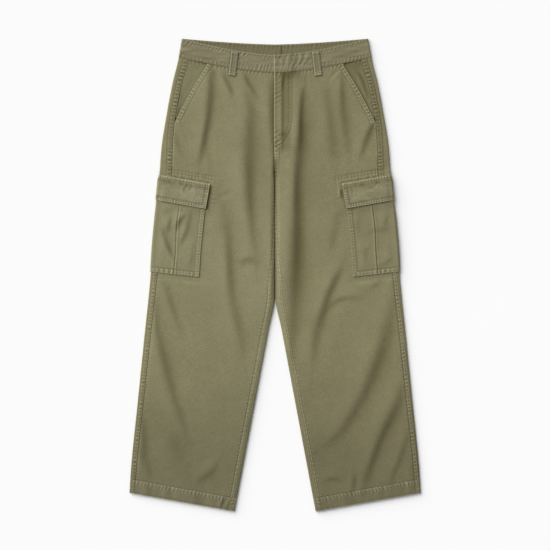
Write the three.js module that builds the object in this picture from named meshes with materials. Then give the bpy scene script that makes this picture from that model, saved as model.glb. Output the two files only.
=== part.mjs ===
// Cargo pants laid flat and face up, the front panels on top and the waist towards +Y.
// Lengths are in millimetres. +X is the wearer's left, and Z is the height above the surface.
// Every piece is a stretch of one cloth surface that goes round the garment, given a thickness.
import * as THREE from "three";

// Cloth
const PLY = 1.2; // one layer of twill
const DOUBLE_PLY = 2; // waistband and turned-up hem
const GAP = 0.3; // between layers, and between pieces at a seam
const LAYER = PLY + GAP;

// Whole garment
const LENGTH = 1038.4; // top of the waistband to the tip of the hem
const LOFT = 5.8; // height of a leg that lies flat, outer face to outer face
const WAIST_LOFT = 6.2;
const POCKET_LOFT = 4.6; // height of the leg alone where the cargo pocket wraps it

// Hip pocket, from the side seam at its low end to this far from the side fold at the waist seam
const OPENING_AT_WAIST = 64;
const FACING_UNDERLAP = 14;
const FACING_END = 12; // its lower end stays this far above the low end of the opening

// Fly: the left front lies over the right one
const FLY_OVERLAP = 2.2; // how far its edge passes the centre line
const FLY_TUCK = 3; // how far the right front goes under it
const ZIP_WIDTH = 9;
const FLY_STEP = [15, 21]; // the left front comes down from the zip between these
const SHIELD = [-8, 35]; // reach of the shield to each side of the centre line
const BAND_UNDERLAP = 33;
const BAND_STEP = [35, 46];
const BAND_BACK_SEAM = 14; // the waistband's back seam lies this far to the left

// Cargo pocket and flap, measured along the cloth from the side fold
const POCKET_FRONT = 107.5;
const POCKET_BACK = 92;
const POCKET_BELOW_FLAP_TOP = 16;
const PLEAT = 48; // where the two folds of the pleat meet
const PLEAT_LIP = 1.5;
const PLEAT_HEIGHT = 1.7;
const POCKET_PUFF = 0.9;
const FLAP_TOP_FRONT = 113;
const FLAP_END_FRONT = 109;
const FLAP_PUFF = 0.5;
const FLAP_SEAM = 13; // from the flap's top edge to where it lies on the pocket
const FRONT_EDGE_ZONE = [115, 137]; // the front settles to its plain height between these
const BACK_EDGE_ZONE = [95, 115];

// Belt loops
const LOOP_WIDTH = 14.5;
const LOOP_BELOW_TOP = 3;
const LOOP_BELOW_SEAM = 16.5;
const LOOP_SLACK = 1;
const LOOP_FOLD = 7; // doubled end under the bartack
const LOOP_RISE = 1.6; // the slack is full this many folds from an end
const FRONT_LOOP = { top: 88.4, end: 94.6 }; // from the centre line
const BACK_LOOP = 112;

// Cross rows of the garment. Each drops from the top of the waistband by `side` at the side
// fold, and by `front` and `back` at the centre line or at the inner edge of the leg.
// bow: 1 is a straight row. lift and top: heights of the back and front faces, which change
// to edgeLift and edgeTop at the cargo pocket. curl: how far the inner end is rounded.
// parts: cells to the next row.
const FLAT = { lift: 0, top: LOFT, edgeLift: 0, edgeTop: LOFT };
const AT_WAIST = { lift: LAYER, top: WAIST_LOFT, edgeLift: LAYER, edgeTop: WAIST_LOFT };
const AT_POCKET = { ...FLAT, edgeLift: LAYER, edgeTop: LAYER + POCKET_LOFT };
const AT_FLAP = { ...FLAT, edgeLift: 2 * LAYER, edgeTop: 2 * LAYER + POCKET_LOFT };
const ROWS = [
  { name: "waist top", side: 0, front: 36.3, back: 12.8, bow: 1.5, curl: 0, parts: 1, ...AT_WAIST },
  { name: "waist seam", side: 41, front: 75, back: 51, bow: 1.5, curl: 0, parts: 1, ...AT_WAIST },
  { name: "loop end", side: 61, front: 94, back: 71, bow: 1.5, curl: 0, parts: 4, ...AT_WAIST },
  { name: "slant end", side: 183, front: 205, back: 196, bow: 1.4, curl: 0, parts: 1, ...FLAT },
  { name: "fly end", side: 208, front: 232, back: 225, bow: 1.3, curl: 0, parts: 1, ...FLAT },
  { name: "centre seam", side: 231, front: 259, back: 255, bow: 1.2, curl: 0, parts: 1, ...FLAT },
  { name: "crotch", side: 259, front: 292.6, back: 292.6, bow: 1.1, curl: 1, parts: 1, ...FLAT },
  { name: "above flap", side: 280, front: 322, back: 322, bow: 1, curl: 1, parts: 1, ...FLAT },
  { name: "flap top", side: 299, front: 344.5, back: 344.5, bow: 1, curl: 1, parts: 2, ...AT_FLAP },
  { name: "flap end", side: 355, front: 401, back: 401, bow: 1, curl: 1, parts: 1, ...AT_FLAP },
  { name: "below flap", side: 371, front: 416, back: 416, bow: 1, curl: 1, parts: 4, ...AT_POCKET },
  { name: "pocket end", side: 512, front: 542.5, back: 542.5, bow: 1, curl: 1, parts: 1, ...AT_POCKET },
  { name: "below pocket", side: 532, front: 562.5, back: 562.5, bow: 1, curl: 1, parts: 11, ...FLAT },
  { name: "hem seam", side: 967, front: 1010, back: 1010, bow: 1, curl: 1, parts: 1, ...FLAT },
  { name: "hem end", side: 997.7, front: LENGTH, back: LENGTH, bow: 1, curl: 1, parts: 0, ...FLAT },
];

// Side fold: half the garment's width, and how far the side seam lies in from it on the front
const SIDE_FOLD = [
  { drop: 0, half: 204.5, seam: 22 },
  { drop: 46, half: 212.5, seam: 23 },
  { drop: 99, half: 225.5, seam: 21.5 },
  { drop: 169, half: 238.7, seam: 21.5 },
  { drop: 240, half: 249.7, seam: 26 },
  { drop: 290, half: 253.5, seam: 28 },
  { drop: 355, half: 259.8, seam: 23 },
  { drop: 451, half: 269, seam: 18.5 },
  { drop: 521, half: 273.7, seam: 16 },
  { drop: 662, half: 288, seam: 15 },
  { drop: 803, half: 302.3, seam: 14.2 },
  { drop: 944, half: 316.5, seam: 13.5 },
  { drop: 998, half: 320, seam: 13 },
];

// Inner fold of a leg: its distance from the centre line, and how far the inseam lies in from
// the end of the row on the front
const INNER_FOLD = [
  { drop: 292, clear: 1, seam: 0 },
  { drop: 322, clear: 0.5, seam: 1.5 },
  { drop: 344, clear: 0.3, seam: 2.5 },
  { drop: 464, clear: 0.3, seam: 8 },
  { drop: 563, clear: 0.3, seam: 18 },
  { drop: 640, clear: 14.6, seam: 16 },
  { drop: LENGTH, clear: 89.2, seam: 16 },
];

// Largest creases in the front: troughs through three points, with x from the centre line
const CREASES = [
  { x0: -140, drop0: 90, x1: -150, drop1: 194, x2: -166, drop2: 266, depth: 2, spread: 11 },
  { x0: -67, drop0: 112, x1: -56, drop1: 266, x2: -45, drop2: 442, depth: 1.6, spread: 12 },
  { x0: 58, drop0: 119, x1: 48, drop1: 376, x2: 42, drop2: 667, depth: 2.4, spread: 13 },
  { x0: 148, drop0: 95, x1: 149, drop1: 174, x2: 168, drop2: 251, depth: 1.6, spread: 11 },
  { x0: -115, drop0: 372, x1: -97, drop1: 563, x2: -69, drop2: 726, depth: 1.8, spread: 13 },
  { x0: 142, drop0: 504, x1: 99, drop1: 627, x2: 80, drop2: 713, depth: 1.8, spread: 13 },
  { x0: -265, drop0: 603, x1: -242, drop1: 717, x2: -192, drop2: 871, depth: 2, spread: 13 },
  { x0: 254, drop0: 572, x1: 208, drop1: 745, x2: 127, drop2: 895, depth: 2.3, spread: 14 },
  { x0: 272, drop0: 777, x1: 245, drop1: 858, x2: 199, drop2: 990, depth: 2.4, spread: 13 },
];
const CREASE_CLEAR_OF_FOLD = [10, 26];

// Columns of the grids, as distances along the cloth
const FRONT_CELLS = 15;
const BACK_CELLS = 4;
const BAND_CELLS = 13;
const SHIELD_CELLS = 3;
const HEM_CELLS = 14;
const INNER_FOLD_COLUMNS = [2.4, 4.8, FLY_STEP[0] + FLY_OVERLAP, FLY_STEP[1] + FLY_OVERLAP];
const POCKET_INNER_COLUMNS = [97, 78, 62];
const POCKET_OUTER_COLUMNS = [34, 18];
const FLAP_COLUMNS = [97, 78, 62, 48, 34, 18];
const BACK_INNER_COLUMNS = [0.28, 0.46, 0.64, 0.82];
const BACK_INNER_START = 12;

const SIDES = [
  { name: "left", sign: 1 },
  { name: "right", sign: -1 },
];

const mix = THREE.MathUtils.lerp;
const step = THREE.MathUtils.smoothstep;

// Value of one column of a table at a drop
function lookUp(table, drop, column) {
  const last = table.length - 1;
  const below = table.findIndex((row) => row.drop >= drop);
  if (below === 0) return table[0][column];
  if (below < 0) return table[last][column];
  const from = table[below - 1];
  const to = table[below];
  return mix(from[column], to[column], (drop - from.drop) / (to.drop - from.drop));
}

function blendRows(from, to, share) {
  const blended = { ...from };
  for (const [key, value] of Object.entries(from)) {
    if (typeof value === "number") blended[key] = mix(value, to[key], share);
  }
  return blended;
}

// The rows cut into their parts, with the folds and seams that each one meets.
// A level is a place in this list and may lie between two of them.
const LEVELS = [];
const LEVEL_OF = {};
ROWS.forEach((row, i) => {
  LEVEL_OF[row.name] = LEVELS.length;
  const parts = Math.max(row.parts, 1);
  for (let part = 0; part < parts; part++) {
    LEVELS.push(part === 0 ? { ...row } : blendRows(row, ROWS[i + 1], part / parts));
  }
});
LEVELS.forEach((row, level) => {
  const isLeg = level >= LEVEL_OF.crotch;
  row.outerX = lookUp(SIDE_FOLD, row.side, "half");
  row.sideSeam = lookUp(SIDE_FOLD, row.side, "seam");
  row.innerX = isLeg ? lookUp(INNER_FOLD, row.front, "clear") : 0;
  row.inseam = isLeg ? lookUp(INNER_FOLD, row.front, "seam") : 0;
});

// The level that lies `shift` millimetres below a named row at the side
function levelAt(name, shift) {
  const level = LEVEL_OF[name];
  const neighbour = shift < 0 || level === LEVELS.length - 1 ? level - 1 : level + 1;
  const spacing = Math.abs(LEVELS[neighbour].side - LEVELS[level].side);
  return level + shift / spacing;
}

// Levels of a piece that runs between two rows, parted from its neighbours by half a seam gap
function levelsBetween(first, last) {
  const levels = [levelAt(first, GAP / 2)];
  for (let level = LEVEL_OF[first] + 1; level < LEVEL_OF[last]; level++) levels.push(level);
  levels.push(levelAt(last, -GAP / 2));
  return levels;
}

// Sizes of the cross row at a level
function rowAt(level) {
  const from = Math.max(0, Math.min(Math.floor(level), LEVELS.length - 2));
  const row = blendRows(LEVELS[from], LEVELS[from + 1], level - from);
  row.isLeg = level >= LEVEL_OF.crotch;
  row.outerRadius = (row.edgeTop - row.edgeLift) / 2;
  row.innerRadius = (row.curl * (row.top - row.lift)) / 2;
  row.outerArc = (row.outerRadius * Math.PI) / 2;
  row.innerArc = (row.innerRadius * Math.PI) / 2;
  const flat = row.outerX - row.outerRadius - row.innerX - row.innerRadius;
  row.length = row.outerArc + flat + row.innerArc;
  return row;
}

function creaseDepth(x, drop) {
  let depth = 0;
  for (const c of CREASES) {
    const along = (drop - c.drop0) / (c.drop2 - c.drop0);
    if (along <= 0 || along >= 1) continue;
    const bend = (c.drop1 - c.drop0) / (c.drop2 - c.drop0);
    const straight = mix(c.x0, c.x2, along);
    const sag = (c.x1 - mix(c.x0, c.x2, bend)) / (bend * (1 - bend));
    const off = (x - straight - sag * along * (1 - along)) / c.spread;
    depth += c.depth * Math.sin(Math.PI * along) ** 0.6 * Math.exp(-off * off);
  }
  return Math.min(depth, LOFT - 2 * PLY - GAP);
}

// Height of the front or the back face, `along` millimetres from the side fold
function faceHeight(row, isFront, along, x, drop) {
  if (!isFront) {
    return mix(row.edgeLift, row.lift, THREE.MathUtils.clamp(share(BACK_EDGE_ZONE, along), 0, 1));
  }
  const plain = THREE.MathUtils.clamp(share(FRONT_EDGE_ZONE, along), 0, 1);
  const openCloth = row.edgeLift > row.lift ? plain : 1;
  const fromOuter = step(along, ...CREASE_CLEAR_OF_FOLD);
  const fromInner = step(row.length - along, ...CREASE_CLEAR_OF_FOLD);
  const crease = creaseDepth(x, drop) * openCloth * fromOuter * fromInner;
  return mix(row.edgeTop, row.top, plain) - crease;
}

function share([start, end], value) {
  return (value - start) / (end - start);
}

// A point of the garment's outer face, `along` millimetres round a row from the side fold, and
// `offset` out of it. Positive runs over the front and negative under the back. Past the inner
// end, a leg's row goes on round the fold, and a row above the crotch crosses the centre line.
function clothPoint(level, along, offset, sign) {
  const row = rowAt(level);
  let isFront = along >= 0;
  let reach = Math.abs(along);
  if (row.isLeg && reach > row.length) {
    isFront = !isFront;
    reach = 2 * row.length - reach;
  }
  const up = isFront ? 1 : -1;
  const innerEnd = row.length - row.innerArc;
  const dropAt = (x) => {
    const inward = Math.min(1, (row.outerX - Math.abs(x)) / (row.outerX - row.innerX));
    return mix(row.side, isFront ? row.front : row.back, 1 - (1 - inward) ** row.bow);
  };
  let x;
  let z;
  let outX = 0;
  let outZ = up;
  if (reach < row.outerArc) {
    const angle = reach / row.outerRadius;
    outX = Math.cos(angle);
    outZ = up * Math.sin(angle);
    x = row.outerX - row.outerRadius * (1 - outX);
    z = (row.edgeTop + row.edgeLift) / 2 + row.outerRadius * outZ;
  } else if (reach <= innerEnd || row.innerRadius === 0) {
    x = row.outerX - row.outerRadius - (reach - row.outerArc);
    z = faceHeight(row, isFront, reach, x * sign, dropAt(x));
  } else {
    const angle = Math.min((reach - innerEnd) / row.innerRadius, Math.PI / 2);
    const past = Math.max(0, reach - row.length);
    outX = -Math.sin(angle);
    outZ = up * Math.cos(angle);
    x = row.innerX + row.innerRadius * (1 + outX) - past;
    z = (isFront ? row.top : row.lift) - up * row.innerRadius * (1 - Math.abs(outZ));
  }
  const y = LENGTH / 2 - dropAt(x);
  return [sign * (x + offset * outX), y, z + offset * outZ];
}

// Distance along the front or the back from the side fold to a given x
function reachTo(level, x) {
  const row = rowAt(level);
  return row.outerX - row.outerRadius - x + row.outerArc;
}

// The columns between two ends, without the ends
function evenColumns(start, end, cells) {
  return Array.from({ length: cells - 1 }, (_, i) => mix(start, end, (i + 1) / cells));
}

// A closed wall over a grid: one row of columns for each level, between the offsets near and far
function wall(levels, columnsAt, near, far, sign, isRing) {
  const grid = levels.map((level) => columnsAt(level));
  const width = grid[0].length;
  const positions = [];
  for (const offsetAt of [near, far]) {
    grid.forEach((columns, i) => {
      for (const along of columns) {
        positions.push(...clothPoint(levels[i], along, offsetAt(along, i, levels[i]), sign));
      }
    });
  }
  const layer = levels.length * width;
  const id = (i, j, isFar) => (isFar ? layer : 0) + i * width + (j % width);
  const faces = [];
  const quad = (a, b, c, d) => faces.push(a, b, c, a, c, d);
  const lastRow = levels.length - 1;
  const cells = isRing ? width : width - 1;
  for (let j = 0; j < cells; j++) {
    for (let i = 0; i < lastRow; i++) {
      quad(id(i, j, 1), id(i, j + 1, 1), id(i + 1, j + 1, 1), id(i + 1, j, 1));
      faces.push(id(i, j, 0), id(i + 1, j + 1, 0), id(i, j + 1, 0));
      faces.push(id(i, j, 0), id(i + 1, j, 0), id(i + 1, j + 1, 0));
    }
    quad(id(0, j, 0), id(0, j + 1, 0), id(0, j + 1, 1), id(0, j, 1));
    quad(id(lastRow, j + 1, 0), id(lastRow, j, 0), id(lastRow, j, 1), id(lastRow, j + 1, 1));
  }
  for (let i = 0; i < lastRow && !isRing; i++) {
    quad(id(i + 1, 0, 0), id(i, 0, 0), id(i, 0, 1), id(i + 1, 0, 1));
    quad(id(i, cells, 0), id(i + 1, cells, 0), id(i + 1, cells, 1), id(i, cells, 1));
  }
  return closedGeometry(positions, faces);
}

// Turns the faces out by the sign of the volume that they enclose
function closedGeometry(positions, faces) {
  const at = (k) => new THREE.Vector3().fromArray(positions, 3 * k);
  let volume = 0;
  for (let k = 0; k < faces.length; k += 3) {
    volume += at(faces[k]).dot(at(faces[k + 1]).cross(at(faces[k + 2])));
  }
  const turned = volume < 0 ? faces.slice().reverse() : faces;
  const geometry = new THREE.BufferGeometry();
  geometry.setAttribute("position", new THREE.Float32BufferAttribute(positions, 3));
  geometry.setIndex(turned);
  geometry.computeVertexNormals();
  return geometry;
}

const garment = new THREE.Group();

function addPiece(name, geometry, color, roughness = 0.92, metalness = 0) {
  const material = new THREE.MeshStandardMaterial({ color, roughness, metalness });
  const mesh = new THREE.Mesh(geometry, material);
  mesh.name = name;
  garment.add(mesh);
}

const OLIVE = 0x847f61;
const OLIVE_BAND = 0x837f65;
const OLIVE_POCKET = 0x848063;
const OLIVE_FLAP = 0x8d896e;
const OLIVE_FACING = 0x7f7b5e;
const OLIVE_HEM = 0x757057;
const DARK_ZIP = 0x4f4c3c;

// Outer edge of a front panel: the slant pocket opening, then the side seam
function openingAt(level) {
  const { side, sideSeam } = rowAt(level);
  const top = LEVELS[LEVEL_OF["waist seam"]].side;
  const down = Math.min(1, share([top, LEVELS[LEVEL_OF["slant end"]].side], side));
  return mix(OPENING_AT_WAIST, sideSeam, down);
}

// Inner edge of a front panel. The left one lies over the right one as far as the fly's end.
function frontInnerEdge(level, isLeft) {
  const row = rowAt(level);
  if (row.isLeg) return row.length - row.inseam - GAP / 2;
  const overlap = isLeft ? FLY_OVERLAP : level < LEVEL_OF["fly end"] ? FLY_TUCK : -FLY_OVERLAP - GAP;
  const closing = THREE.MathUtils.clamp(share([LEVEL_OF["centre seam"], LEVEL_OF.crotch], level), 0, 1);
  return row.length + mix(overlap, -GAP, closing);
}

function flyRise(level, fromCentre) {
  if (level >= LEVEL_OF["centre seam"]) return 0;
  return LAYER * (1 - THREE.MathUtils.clamp(share(FLY_STEP, fromCentre), 0, 1));
}

function makeFrontPanel({ name, sign }) {
  const isLeft = sign > 0;
  const columnsAt = (level) => {
    const outer = openingAt(level) + GAP / 2;
    const inner = frontInnerEdge(level, isLeft);
    const start = outer + FACING_UNDERLAP;
    const fold = INNER_FOLD_COLUMNS.map((back) => inner - back).reverse();
    const cells = evenColumns(start, fold[0], FRONT_CELLS);
    return [outer, outer + FACING_UNDERLAP / 2, start, ...cells, ...fold, inner];
  };
  const rise = (along, i, level) => (isLeft ? flyRise(level, rowAt(level).length - along) : 0);
  const levels = levelsBetween("waist seam", "hem seam");
  const geometry = wall(
    levels,
    columnsAt,
    (along, i, level) => rise(along, i, level) - PLY,
    rise,
    sign,
    false,
  );
  addPiece("front_panel_" + name, geometry, OLIVE);
}

// From the side seam round the side fold, under the leg and round the inner fold to the inseam
function makeBackPanel({ name, sign }) {
  const columnsAt = (level) => {
    const row = rowAt(level);
    const start = row.sideSeam - GAP / 2;
    const end = row.isLeg ? -(row.length + row.inseam) + GAP / 2 : -row.length + GAP / 2;
    const [zoneStart, zoneEnd] = BACK_EDGE_ZONE;
    const fold = [row.outerArc, row.outerArc / 2, 0, -row.outerArc / 2, -row.outerArc];
    const innerStart = -(row.length - BACK_INNER_START);
    const inner = BACK_INNER_COLUMNS.map((part) => mix(innerStart, end, part));
    const under = evenColumns(-zoneEnd, innerStart, BACK_CELLS);
    const beside = [-zoneStart / 2, -zoneStart, -zoneEnd];
    return [start, ...fold, ...beside, ...under, innerStart, ...inner, end];
  };
  const levels = levelsBetween("waist seam", "hem seam");
  const geometry = wall(levels, columnsAt, () => -PLY, () => 0, sign, false);
  addPiece("back_panel_" + name, geometry, OLIVE);
}

// Behind the slant opening, from the side seam to a little way under the front panel
function makeHipFacing({ name, sign }) {
  const levels = levelsBetween("waist seam", "slant end");
  levels[levels.length - 1] = levelAt("slant end", -FACING_END);
  const seamAt = (level) => rowAt(level).sideSeam + GAP / 2;
  const edgeAt = (level) => openingAt(level) + GAP / 2;
  const columnsAt = (level) => {
    const seam = seamAt(level);
    const edge = edgeAt(level);
    const hidden = [edge, edge + FACING_UNDERLAP / 2, edge + FACING_UNDERLAP];
    return [seam, mix(seam, edge, 1 / 2), ...hidden];
  };
  const sink = (along, i, level) => -LAYER * step(along, seamAt(level), edgeAt(level));
  const near = (along, i, level) => sink(along, i, level) - PLY;
  addPiece("hip_pocket_facing_" + name, wall(levels, columnsAt, near, sink, sign, false), OLIVE_FACING);
}

function makeFlyPieces() {
  const levels = levelsBetween("waist seam", "fly end");
  const shieldColumns = (level) => {
    const centre = rowAt(level).length;
    const ends = [centre - SHIELD[1], centre - SHIELD[0]];
    return [ends[0], ...evenColumns(...ends, SHIELD_CELLS), ends[1]];
  };
  const shield = wall(levels, shieldColumns, () => -LAYER - PLY, () => -LAYER, 1, false);
  addPiece("fly_shield", shield, OLIVE_FACING);
  const zipColumns = (level) => {
    const edge = rowAt(level).length - FLY_TUCK - GAP;
    return [edge - ZIP_WIDTH, edge];
  };
  const zip = wall(levels, zipColumns, () => -PLY, () => 0, 1, false);
  addPiece("fly_zip", zip, DARK_ZIP, 0.5, 0.6);
}

// The pocket wraps the side fold. Its two folds meet at the pleat and stand up in front.
function makeCargoPocket({ name, sign }) {
  const levels = levelsBetween("flap top", "pocket end");
  levels[0] = levelAt("flap top", POCKET_BELOW_FLAP_TOP);
  const columnsAt = (level) => {
    const arc = rowAt(level).outerArc;
    const pleat = [PLEAT + PLEAT_LIP, PLEAT, PLEAT - PLEAT_LIP];
    const front = [POCKET_FRONT, ...POCKET_INNER_COLUMNS, ...pleat, ...POCKET_OUTER_COLUMNS];
    return [...front, arc, arc / 2, 0, -arc / 2, -arc, -POCKET_BACK / 2, -POCKET_BACK];
  };
  const [puffStart] = POCKET_OUTER_COLUMNS.slice(-1);
  const far = (along, i, level) => {
    const isFlat = along < puffStart || along >= POCKET_FRONT || level <= LEVEL_OF["flap end"];
    const fromPleat = Math.abs(along - PLEAT);
    if (isFlat || fromPleat < PLEAT_LIP / 2) return LAYER;
    if (fromPleat < 2 * PLEAT_LIP) return LAYER + PLEAT_HEIGHT;
    return LAYER + (i === levels.length - 1 ? 0 : POCKET_PUFF);
  };
  addPiece("cargo_pocket_" + name, wall(levels, columnsAt, () => GAP, far, sign, false), OLIVE_POCKET);
}

function makeCargoFlap({ name, sign }) {
  const seam = levelAt("flap top", FLAP_SEAM);
  const levels = [levelAt("flap top", GAP), seam, LEVEL_OF["flap top"] + 1, levelAt("flap end", -GAP)];
  const columnsAt = (level) => {
    const arc = rowAt(level).outerArc;
    const down = share([levels[0], levels.at(-1)], level);
    const front = mix(FLAP_TOP_FRONT, FLAP_END_FRONT, down);
    const back = [-arc / 2, -arc, -POCKET_BACK / 2, -POCKET_BACK - 1];
    return [front, ...FLAP_COLUMNS, arc, arc / 2, 0, ...back];
  };
  const near = (along, i) => (i === 0 ? GAP : LAYER + GAP);
  const flatEnd = rowAt(seam).outerArc;
  const far = (along, i) => {
    return near(along, i) + PLY + (along > flatEnd && i > 0 ? FLAP_PUFF : 0);
  };
  addPiece("cargo_flap_" + name, wall(levels, columnsAt, near, far, sign, false), OLIVE_FLAP);
}

// Half of the waistband, from the centre front round the side fold to the back seam
function makeWaistband({ name, sign }) {
  const isLeft = sign > 0;
  const levels = levelsBetween("waist top", "waist seam");
  levels[0] = LEVEL_OF["waist top"];
  const columnsAt = (level) => {
    const row = rowAt(level);
    const frontEnd = row.length + (isLeft ? FLY_OVERLAP : BAND_UNDERLAP);
    const backEnd = -row.length + (isLeft ? BAND_BACK_SEAM : -BAND_BACK_SEAM) + GAP / 2;
    const stepEnds = isLeft ? BAND_STEP.map((fromCentre) => row.length - fromCentre) : [row.length];
    const front = [frontEnd, ...stepEnds, ...evenColumns(stepEnds.at(-1), row.outerArc, BAND_CELLS)];
    const fold = [row.outerArc, row.outerArc / 2, 0, -row.outerArc / 2, -row.outerArc];
    return [...front, ...fold, ...evenColumns(-row.outerArc, backEnd, BAND_CELLS), backEnd];
  };
  const far = (along, i, level) => {
    if (!isLeft || along < 0) return 0;
    const fromCentre = rowAt(level).length - along;
    return (DOUBLE_PLY + GAP) * (1 - THREE.MathUtils.clamp(share(BAND_STEP, fromCentre), 0, 1));
  };
  const near = (along, i, level) => far(along, i, level) - DOUBLE_PLY;
  addPiece("waistband_" + name, wall(levels, columnsAt, near, far, sign, false), OLIVE_BAND);
}

// A strip sewn down at both ends, with its ends doubled and a little slack between them
function makeBeltLoop(name, sign, isFront, topX, endX) {
  const first = levelAt("waist top", LOOP_BELOW_TOP);
  const last = levelAt("waist seam", LOOP_BELOW_SEAM);
  const seam = LEVEL_OF["waist seam"];
  const height = LEVELS[seam].side - LEVELS[0].side - LOOP_BELOW_TOP + LOOP_BELOW_SEAM;
  const fold = (LOOP_FOLD / height) * (last - first);
  const rise = fold * LOOP_RISE;
  const levels = [first, first + fold, first + rise, seam, last - rise, last - fold, last];
  levels.sort((a, b) => a - b);
  const columnsAt = (level) => {
    const centre = mix(topX, endX, share([first, last], level));
    const right = reachTo(level, centre + LOOP_WIDTH / 2);
    const left = reachTo(level, centre - LOOP_WIDTH / 2);
    return isFront ? [right, left] : [-left, -right];
  };
  const isEnd = (i) => i < 2 || i > levels.length - 3;
  const near = (along, i) => GAP + (isFront && !isEnd(i) ? LOOP_SLACK : 0);
  const far = (along, i) => near(along, i) + PLY + (isFront && isEnd(i) ? PLY : 0);
  addPiece("belt_loop_" + name, wall(levels, columnsAt, near, far, sign, false), OLIVE_BAND);
}

// A closed ring of doubled cloth at the end of each leg
function makeHem({ name, sign }) {
  const levels = levelsBetween("hem seam", "hem end");
  levels[levels.length - 1] = LEVEL_OF["hem end"];
  const columnsAt = (level) => {
    const row = rowAt(level);
    const outerFold = [row.outerArc, row.outerArc / 2, 0, -row.outerArc / 2, -row.outerArc];
    const toInner = row.length - row.innerArc;
    const halfArc = row.innerArc / 2;
    const front = evenColumns(toInner, row.outerArc, HEM_CELLS);
    const back = evenColumns(-row.outerArc, -toInner, HEM_CELLS);
    const innerFold = [-toInner, -toInner - halfArc, row.length, toInner + halfArc, toInner];
    return [...front, ...outerFold, ...back, ...innerFold];
  };
  addPiece("hem_" + name, wall(levels, columnsAt, () => -DOUBLE_PLY, () => 0, sign, true), OLIVE_HEM);
}

for (const side of SIDES) {
  makeWaistband(side);
  makeFrontPanel(side);
  makeBackPanel(side);
  makeHipFacing(side);
  makeCargoPocket(side);
  makeCargoFlap(side);
  makeHem(side);
  makeBeltLoop("front_" + side.name, side.sign, true, FRONT_LOOP.top, FRONT_LOOP.end);
  makeBeltLoop("back_" + side.name, side.sign, false, BACK_LOOP, BACK_LOOP);
}
makeBeltLoop("back_center", 1, false, 0, 0);
makeFlyPieces();

export default garment;
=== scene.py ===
import math
from types import SimpleNamespace

import bpy
import numpy as np
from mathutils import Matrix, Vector


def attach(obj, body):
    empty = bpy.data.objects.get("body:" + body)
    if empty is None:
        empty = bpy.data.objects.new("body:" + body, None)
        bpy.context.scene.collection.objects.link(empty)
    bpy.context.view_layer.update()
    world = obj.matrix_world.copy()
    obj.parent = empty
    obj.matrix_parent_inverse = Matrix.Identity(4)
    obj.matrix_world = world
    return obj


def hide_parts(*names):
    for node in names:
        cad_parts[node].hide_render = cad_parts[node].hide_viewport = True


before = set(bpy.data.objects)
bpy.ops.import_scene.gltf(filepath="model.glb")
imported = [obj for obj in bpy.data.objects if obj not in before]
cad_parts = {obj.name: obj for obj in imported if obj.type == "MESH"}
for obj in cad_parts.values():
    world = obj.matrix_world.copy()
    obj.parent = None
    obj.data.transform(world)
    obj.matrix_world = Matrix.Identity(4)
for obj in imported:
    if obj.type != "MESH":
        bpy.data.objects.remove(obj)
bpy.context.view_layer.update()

MM = 0.001
FAR = 1e9

# Cloth
PLY = 1.2
DOUBLE_PLY = 2.0
GAP = 0.3
HALF_GAP = GAP / 2
LAYER = PLY + GAP

# Whole garment
LENGTH = 1038.4
LOFT = 5.8
WAIST_LOFT = 6.2
POCKET_LOFT = 4.6

# Hip pocket
OPENING_AT_WAIST = 64
FACING_UNDERLAP = 14
FACING_END = 12

# Fly
FLY_OVERLAP = 2.2
FLY_TUCK = 3
SHIELD = (-8, 35)
FLY_STEP = (15, 21)
BAND_UNDERLAP = 33
BAND_STEP = (35, 46)
BAND_BACK_SEAM = 14

# Cargo pocket and flap, along the cloth from the side fold
POCKET_FRONT = 107.5
POCKET_BACK = 92
POCKET_BELOW_FLAP_TOP = 16
PLEAT = 48
FLAP_TOP_FRONT = 113
FLAP_END_FRONT = 109
FLAP_SEAM = 13
BACKING_RISE = 10  # from the flap's top up to the stitched outline of the backing
BACKING_MARGIN = 11
NARROWER = {1: 4.4, -1: 0}  # how much less far the pocket and flap of each side reach in
FRONT_EDGE_ZONE = (115, 137)
BACK_EDGE_ZONE = (95, 115)

# Belt loops
LOOP_WIDTH = 14.5
LOOP_BELOW_TOP = 3
LOOP_BELOW_SEAM = 16.5
LOOP_SLACK = 0.25
FRONT_LOOP = (88.4, 94.6)
BACK_LOOP = 112

# Seams
SEAM_BAND = 10.5
LOW_SEAM_BAND = 8.5
INSEAM_BAND = 8
SLANT_BAND = 9.4
POCKET_SIDE_BAND = 8.8
POCKET_END_BAND = 10.2
STITCH_PITCH = 3.1
STITCH_LENGTH = 2.3
STITCH_RADIUS = 0.36
TACK_PITCH = 0.62
TACK_WIDTH = 2.0
BAND_TOP_ROW = 2.4
BAND_END_ROW = 2.6
HEM_ROW = 2.4
FLY_ROW = 3.4  # from the middle of the J to each of its two stitch rows
EDGE_ROW = 1.9
LOOP_ROW = 2.6
SEAM_ROW = 1.8
INSEAM_ROWS = (1.8, 6.6)
FELLED_ROWS = (1.4, 7.6)
SLANT_ROWS = (2.0, 8.6)
POCKET_ROWS = (1.8, 7.2)
FLAP_ROWS = (1.9, 6.3)
FLAP_TOP_ROWS = (2.2, 7.4)

# Stitched lines of the front, as (x, drop) points
FLY_ROWS = [
    [(31.1, 77), (31.1, 120), (31.1, 166), (27.4, 193), (19.7, 212), (9.8, 224.5), (1, 231)],
    [(37.9, 77), (37.9, 120), (37.9, 170), (33.6, 199), (24.6, 217.8), (13.2, 231.2), (4, 237)],
]
FLY_TACKS = [((0.5, 212), (8, 216)), ((5, 231), (13, 229))]
BACKING_CORNERS = {
    1: [(253, 288), (194, 295), (135, 303), (138, 325), (141.5, 348)],
    -1: [(223.5, 291), (176, 298), (129.5, 304.5), (132, 327), (135, 349)],
}

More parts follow.
